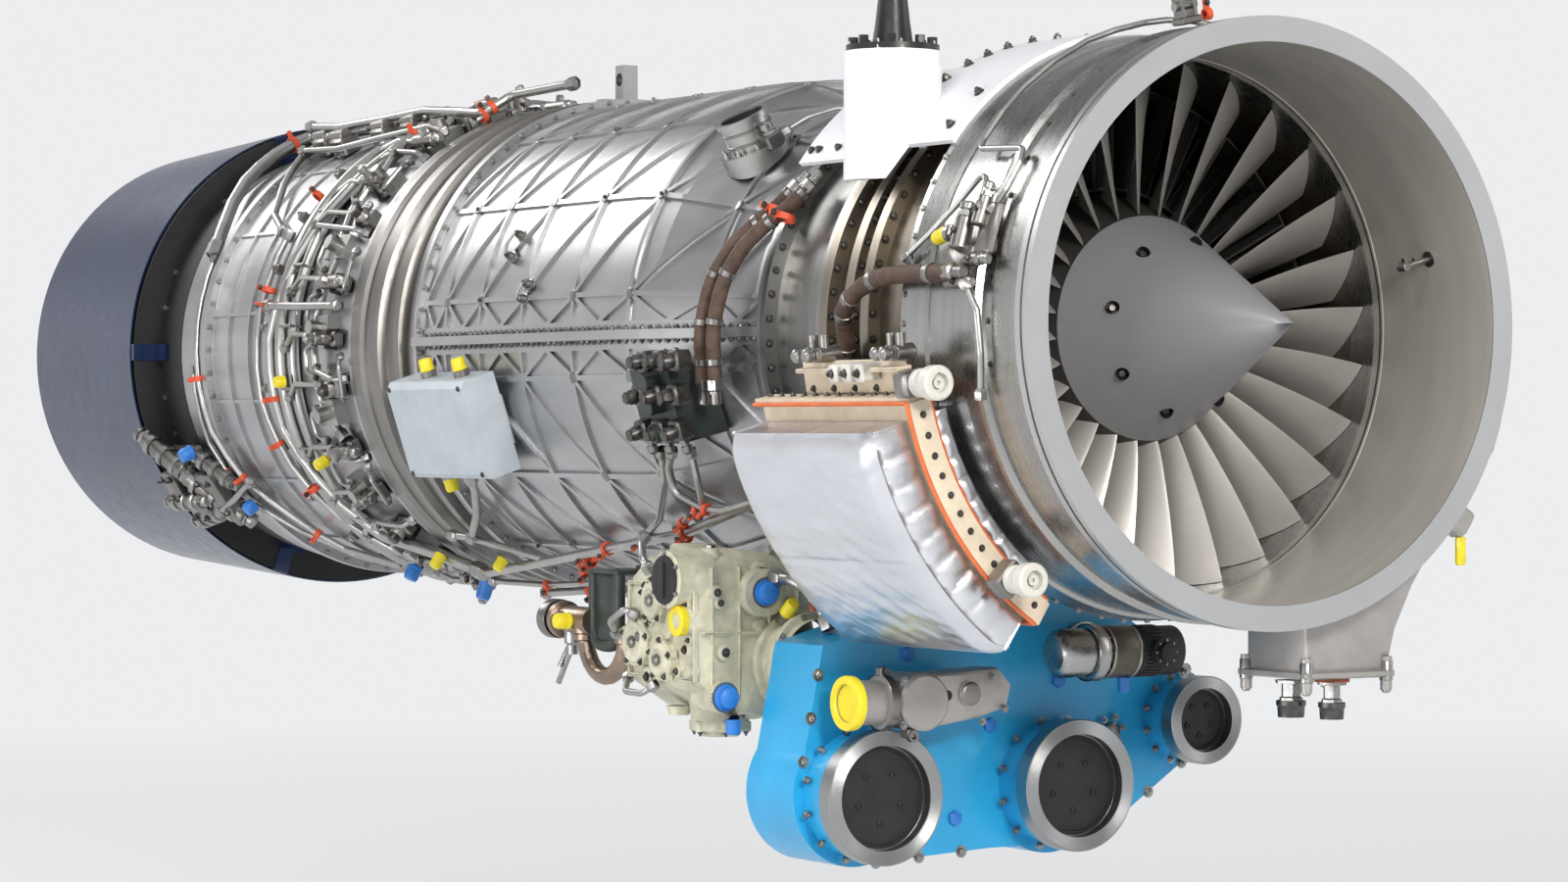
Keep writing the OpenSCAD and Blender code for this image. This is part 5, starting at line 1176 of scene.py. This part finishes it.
for x, y, z, r in ((-345, 850, -574, 42), (-296, 930, -566, 34)):
    for dx, dy in circle(6, 12, r - 3):
        p = Vector((x + dx, y + dy, z + 4))
        cream.lathe(p + UP * 10, DOWN, [(7.5, 0), (7.5, 14), (0, 14)], 14)
        blacks.bolt(p + DOWN * 4, DOWN, 3.6, 4, 3)
for c, s in circle(10):
    blacks.bolt(Vector((-335 + 63 * c, 1014, -432 + 63 * s)), AFT, 4, 4, 2)
    nuts.bolt(Vector((-262 + 71 * c, 720, -475 + 71 * s)), FORE, 3.4, 3.6, 2)
cream.done(replaces=("fuel_control",))
dark_lids.done()
for x, y, z in ((-330, 749, -372), (-392, 757, -520)):
    blues.lathe(Vector((x, y, z)), FORE, [(19, 0), (19, 3), (15, 4), (15, 14), (12, 16), (0, 16)], 20)
    fits.lathe(Vector((x, y, z)), FORE, [(22, -5), (22, 1.5), (19, 1.5)], 24)
cap(yellows, Vector((-300, 742, -402)), (FORE + UP * 0.8).normalized(), 11, 26)
fits.rod(Vector((-300, 756, -414)), Vector((-300, 741, -401)), 9, 14)
cap(blues, Vector((-372, 768, -552)), DOWN, 12, 22)
fits.rod(Vector((-372, 786, -536)), Vector((-372, 768, -552)), 9, 14)
run([Vector((-318, 744, -350)), Vector((-318, 700, -352)), Vector((-300, 660, -372)),
     Vector((-292, 640, -420))], 9)
run([Vector((-290, 790, -312)), Vector((-290, 770, -300)), Vector((-286, 730, -300)),
     Vector((-270, 700, -330))], 7)
run([Vector((-430, 905, -345)), Vector((-442, 905, -330)), Vector((-430, 930, -306)),
     Vector((-380, 1000, -300)), Vector((-330, 1100, -300))], 6)
run([Vector((-440, 872, -505)), Vector((-452, 890, -520)), Vector((-446, 950, -520)),
     Vector((-420, 985, -500))], 5)
run([Vector((-438, 930, -410)), Vector((-452, 940, -400)), Vector((-452, 985, -420)),
     Vector((-425, 1012, -440))], 5)

# The drain pipe behind the fuel control, its dark channel and the lever valve.
bronze = Bag("drain_pipe", M["bronze"], slot="titanium")
bow = [Vector((-400, 1090 - 62 * math.cos(math.radians(k * 15)), -445 - 62 * math.sin(math.radians(k * 15))))
       for k in range(13)]
bronze.tube([Vector((-400, 1020, -436))] + bow + [Vector((-400, 1152, -420))], 13, 20, 6)
bronze.lathe(Vector((-400, 1126, -427)), AFT,
             [(0, 0), (20, 0), (21, 2), (21, 84), (28, 86), (28, 97), (20, 98)], 32)
bronze.lathe(Vector((-400, 1152, -447)), UP, [(13, 0), (20, 2), (20, 22)], 28)
for q in (0.0, 62.0):
    bronze.lathe(Vector((-400, 1028 + 2 * q, -447)), DOWN, [(14, -2), (17, 0), (17, 8), (14, 10)], 24)
bronze.done()
channel = Bag("drain_channel", M["valve_dark"], slot="valve_dark")
channel.tube([Vector((-398, 1052, -352)), Vector((-398, 1052, -462)), Vector((-398, 1128, -462)),
              Vector((-398, 1128, -352))], 9, 12, 30)
channel.block(Vector((-398, 1090, -402)), UP, LEFT, (112, 66, 8), 2)
channel.block(Vector((-370, 1090, -352)), AFT, UP, (92, 74, 8), 2)
channel.block(Vector((-342, 1040, -348)), AFT, UP, (90, 22, 12), 2)
channel.done()
valve = Vector((-400, 1152, -427))
fits.lathe(valve + AFT * 96, AFT, [(29, -18), (30, -16), (30, 4), (22, 5), (19, 5), (19, -4), (0, -4)], 30)
fits.lathe(valve + AFT * 40, LEFT, [(14, 0), (14, 26), (10, 30), (0, 30)], 6)
nuts.lathe(valve + AFT * 40, DOWN, [(13, 0), (13, 34), (9, 38), (9, 52), (0, 52)], 18)
nuts.rod(valve + AFT * 40 + DOWN * 48 + LEFT * 4, valve + AFT * 66 + DOWN * 96 + LEFT * 10, 4.4, 12)
nuts.rod(valve + AFT * 52 + DOWN * 40, valve + AFT * 52 + DOWN * 70 + LEFT * 16, 3.4, 10)
cap(yellows, valve + AFT * 14 + LEFT * 20, LEFT, 13, 24)

# The connector bracket under the fan case, the boss at its side and the small lug.
brackets = Bag("front_brackets", M["cast_grey"], slot="case_grey")


def arc_down(t0, t1, r):
    return [(-r * math.cos(math.radians(t0 + (t1 - t0) * k / 10)),
             r * math.sin(math.radians(t0 + (t1 - t0) * k / 10))) for k in range(11)]


prism(brackets, [(108, -468), (246, -468), (262, -412), (294, -352), (332, -296), (352, -262),
                 (346, -205)] + arc_down(210.3, 254.4, 398.5), 75, 205, 7)
brackets.block(Vector((177, 140, -469)), RIGHT, UP, (156, 148, 10), 2)
prism(brackets, arc_down(212, 176, 398.5) + [(420, 8), (438, -11), (444, -70), (442, -130), (428, -168),
                                             (406, -198), (376, -224)], 62, 150, 6)
brackets.block(spot(215, 81, 436), along(215), out(215), (40, 30, 80), 5)
for x in (108, 246):
    for y in (75, 205):
        brackets.lathe(Vector((x, y, -492)), UP, [(0, 0), (8, 0), (8, 46)], 18)
brackets.done()
# Their fittings: bright posts, two connectors, a brown seal and a hanging yellow tag.
for x in (108, 246):
    for y in (75, 205):
        nuts.lathe(Vector((x, y, -452)), DOWN,
                   [(8.6, 0), (9.2, 1), (9.2, 26), (6, 30), (6, 42), (4, 44), (0, 44)], 18)
rust = Bag("bracket_seal", M["seal_brown"], slot="hose_brown")
rust.lathe(Vector((172, 100, -473)), DOWN, [(24, 0), (24, 7), (0, 7)], 28)
rust.done()
for x, y, r in ((150, 160, 17), (172, 100, 15)):
    nuts.lathe(Vector((x, y, -480)), DOWN,
               [(r + 6, 0), (r + 6, 4), (r - 3, 5), (r - 3, 22), (r, 24), (r, 28)], 6)
    blacks.lathe(Vector((x, y, -508)), DOWN,
                 [(r + 3.6, 0), (r + 3.6, 6), (r + 2, 8), (r + 1, 22.6), (0, 22.6)], 24)
tag = spot(215, 76, 462)
nuts.tube([tag, tag + Vector((6, 0, -8)), tag + Vector((2, 0, -20)), tag + Vector((-2, 0, -10)), tag], 1.1, 6,
          4)
yellows.block(tag + DOWN * 40, RIGHT, FORE, (16, 40, 10), 3)
for t in (186, 203):
    blacks.bolt(spot(t, 62, 424), FORE, 6, 5, 3)
for b in (pipes, fits, nuts, blacks, oranges, yellows, blues, whites):
    b.done()

# Camera, floor, world and lamps, in metres.
CAMERA_AT = (-3.3875, -4.2518, -0.1389)
FLOOR_Z = -1.15
FLOOR_HALF = 60
cam_data = bpy.data.cameras.new("camera")
cam_data.lens = 94.5
cam_data.sensor_width = 36
cam_data.clip_end = 100
cam = bpy.data.objects.new("camera", cam_data)
bpy.context.scene.collection.objects.link(cam)
forward = Vector((0.52536, 0.85087, -0.00294)).normalized()
right = Vector((0.85088, -0.52536, 0.0018)).normalized()
up = right.cross(forward)
cam.matrix_world = Matrix([(right[i], up[i], -forward[i], CAMERA_AT[i]) for i in range(3)] + [(0, 0, 0, 1)])
bpy.context.scene.camera = cam

PALE = (0.84, 0.85, 0.865, 1)


def seen_rays(tree):
    """1 for rays that the camera, a mirror or glass sends, so that all of them see the same background."""
    path = add(tree, "ShaderNodeLightPath")
    last = path.outputs["Is Camera Ray"]
    for other in ("Is Glossy Ray", "Is Transmission Ray"):
        last = add(tree, "ShaderNodeMath", {0: last, 1: path.outputs[other]}, operation="MAXIMUM").outputs[0]
    return last


def floor_material():
    """Pale floor that keeps the soft shadow near the engine and fades into the background farther away."""
    m = bpy.data.materials.new("floor_pale")
    m.use_nodes = True
    tree = m.node_tree
    tree.nodes.clear()
    tones = {0: add(tree, "ShaderNodeTexNoise", {"Scale": 3.0}).outputs[0]}
    tones[6] = (0.81, 0.82, 0.835, 1)
    tones[7] = (0.83, 0.84, 0.855, 1)
    tone = add(tree, "ShaderNodeMix", tones, data_type="RGBA").outputs[2]
    ground = add(tree, "ShaderNodeBsdfPrincipled", {"Base Color": tone, "Roughness": 0.9}).outputs[0]
    glow = add(tree, "ShaderNodeEmission", {0: PALE}).outputs[0]
    place = add(tree, "ShaderNodeNewGeometry").outputs["Position"]
    far = add(tree, "ShaderNodeVectorMath", {0: place}, operation="LENGTH").outputs["Value"]
    fade = {0: far, "From Min": 1.5, "From Max": 9.0, "To Min": 0.45, "To Max": 1.0}
    fade = add(tree, "ShaderNodeMapRange", fade).outputs[0]
    share = add(tree, "ShaderNodeMath", {0: seen_rays(tree), 1: fade}, operation="MULTIPLY").outputs[0]
    both = add(tree, "ShaderNodeMixShader", {0: share, 1: ground, 2: glow}).outputs[0]
    add(tree, "ShaderNodeOutputMaterial", {0: both})
    return m


floor_mesh = bpy.data.meshes.new("floor")
corners = [(x * FLOOR_HALF, y * FLOOR_HALF, FLOOR_Z) for x, y in ((-1, -1), (1, -1), (1, 1), (-1, 1))]
floor_mesh.from_pydata(corners, [], [(0, 1, 2, 3)])
floor = bpy.data.objects.new("floor", floor_mesh)
bpy.context.scene.collection.objects.link(floor)
floor_mesh.materials.append(floor_material())
floor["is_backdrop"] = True

world = bpy.data.worlds.new("world")
bpy.context.scene.world = world
world.use_nodes = True
sky_tree = world.node_tree
sky_tree.nodes.clear()


def sky(stops, strength):
    """A background that changes with height, from straight down at 0 to straight up at 1."""
    ramp = add(sky_tree, "ShaderNodeValToRGB", {0: height})
    first, last = ramp.color_ramp.elements
    first.position, last.position = stops[0][0], stops[-1][0]
    first.color = tuple(stops[0][1] * c for c in (1, 1, 1.02)) + (1,)
    last.color = tuple(stops[-1][1] * c for c in (1, 1, 1.02)) + (1,)
    for pos, val in stops[1:-1]:
        e = ramp.color_ramp.elements.new(pos)
        e.color = (val, val, val * 1.02, 1)
    return add(sky_tree, "ShaderNodeBackground", {0: ramp.outputs[0], 1: strength}).outputs[0]


ways = add(sky_tree, "ShaderNodeTexCoord").outputs["Generated"]
rising = add(sky_tree, "ShaderNodeSeparateXYZ", {0: ways}).outputs[2]
height = add(sky_tree, "ShaderNodeMapRange", {0: rising, "From Min": -1.0}).outputs[0]
LIGHT_STOPS = ((0.0, 0.3), (0.5, 0.45), (1.0, 0.8))
SEEN_STOPS = ((0.0, 0.30), (0.40, 0.55), (0.47, 0.85), (0.56, 0.85), (0.68, 0.32), (0.84, 0.22), (1.0, 0.8))
skies = {0: seen_rays(sky_tree), 1: sky(LIGHT_STOPS, 0.7), 2: sky(SEEN_STOPS, 1.0)}
both_skies = add(sky_tree, "ShaderNodeMixShader", skies).outputs[0]
add(sky_tree, "ShaderNodeOutputWorld", {0: both_skies})


def lamp(name, loc, target, size, power, color=(1, 1, 1)):
    d = bpy.data.lights.new(name, "AREA")
    d.shape = "RECTANGLE"
    d.size, d.size_y = size
    d.energy = power
    d.color = color
    o = bpy.data.objects.new(name, d)
    bpy.context.scene.collection.objects.link(o)
    o.location = loc
    o.rotation_mode = "QUATERNION"
    o.rotation_quaternion = (Vector(target) - Vector(loc)).to_track_quat("-Z", "Y")
    return o


lamp("key", (-3.6, -1.2, 3.2), (0, 1.0, 0), (3.0, 1.2), 96)
lamp("front", (-1.2, -4.4, 1.9), (0.1, 0.2, -0.1), (1.8, 1.4), 92)
lamp("rim", (-1.5, 5.2, 2.6), (0, 2.0, 0), (2.5, 1.5), 80)
lamp("low", (-4.2, 0.6, -0.6), (0, 1.2, -0.2), (3.0, 0.5), 44)
lamp("right", (3.4, -1.4, 1.4), (0, 0.3, 0), (1.2, 2.4), 20)
lamp("throat", (-1.0, -3.0, 0.8), (0.22, 0.3, -0.24), (0.4, 0.4), 48, (1.0, 0.94, 0.85))

scene = bpy.context.scene
scene.view_settings.view_transform = "Standard"

size = {"start": [list(v) for v in box_start], "end": [list(v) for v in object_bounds()]}
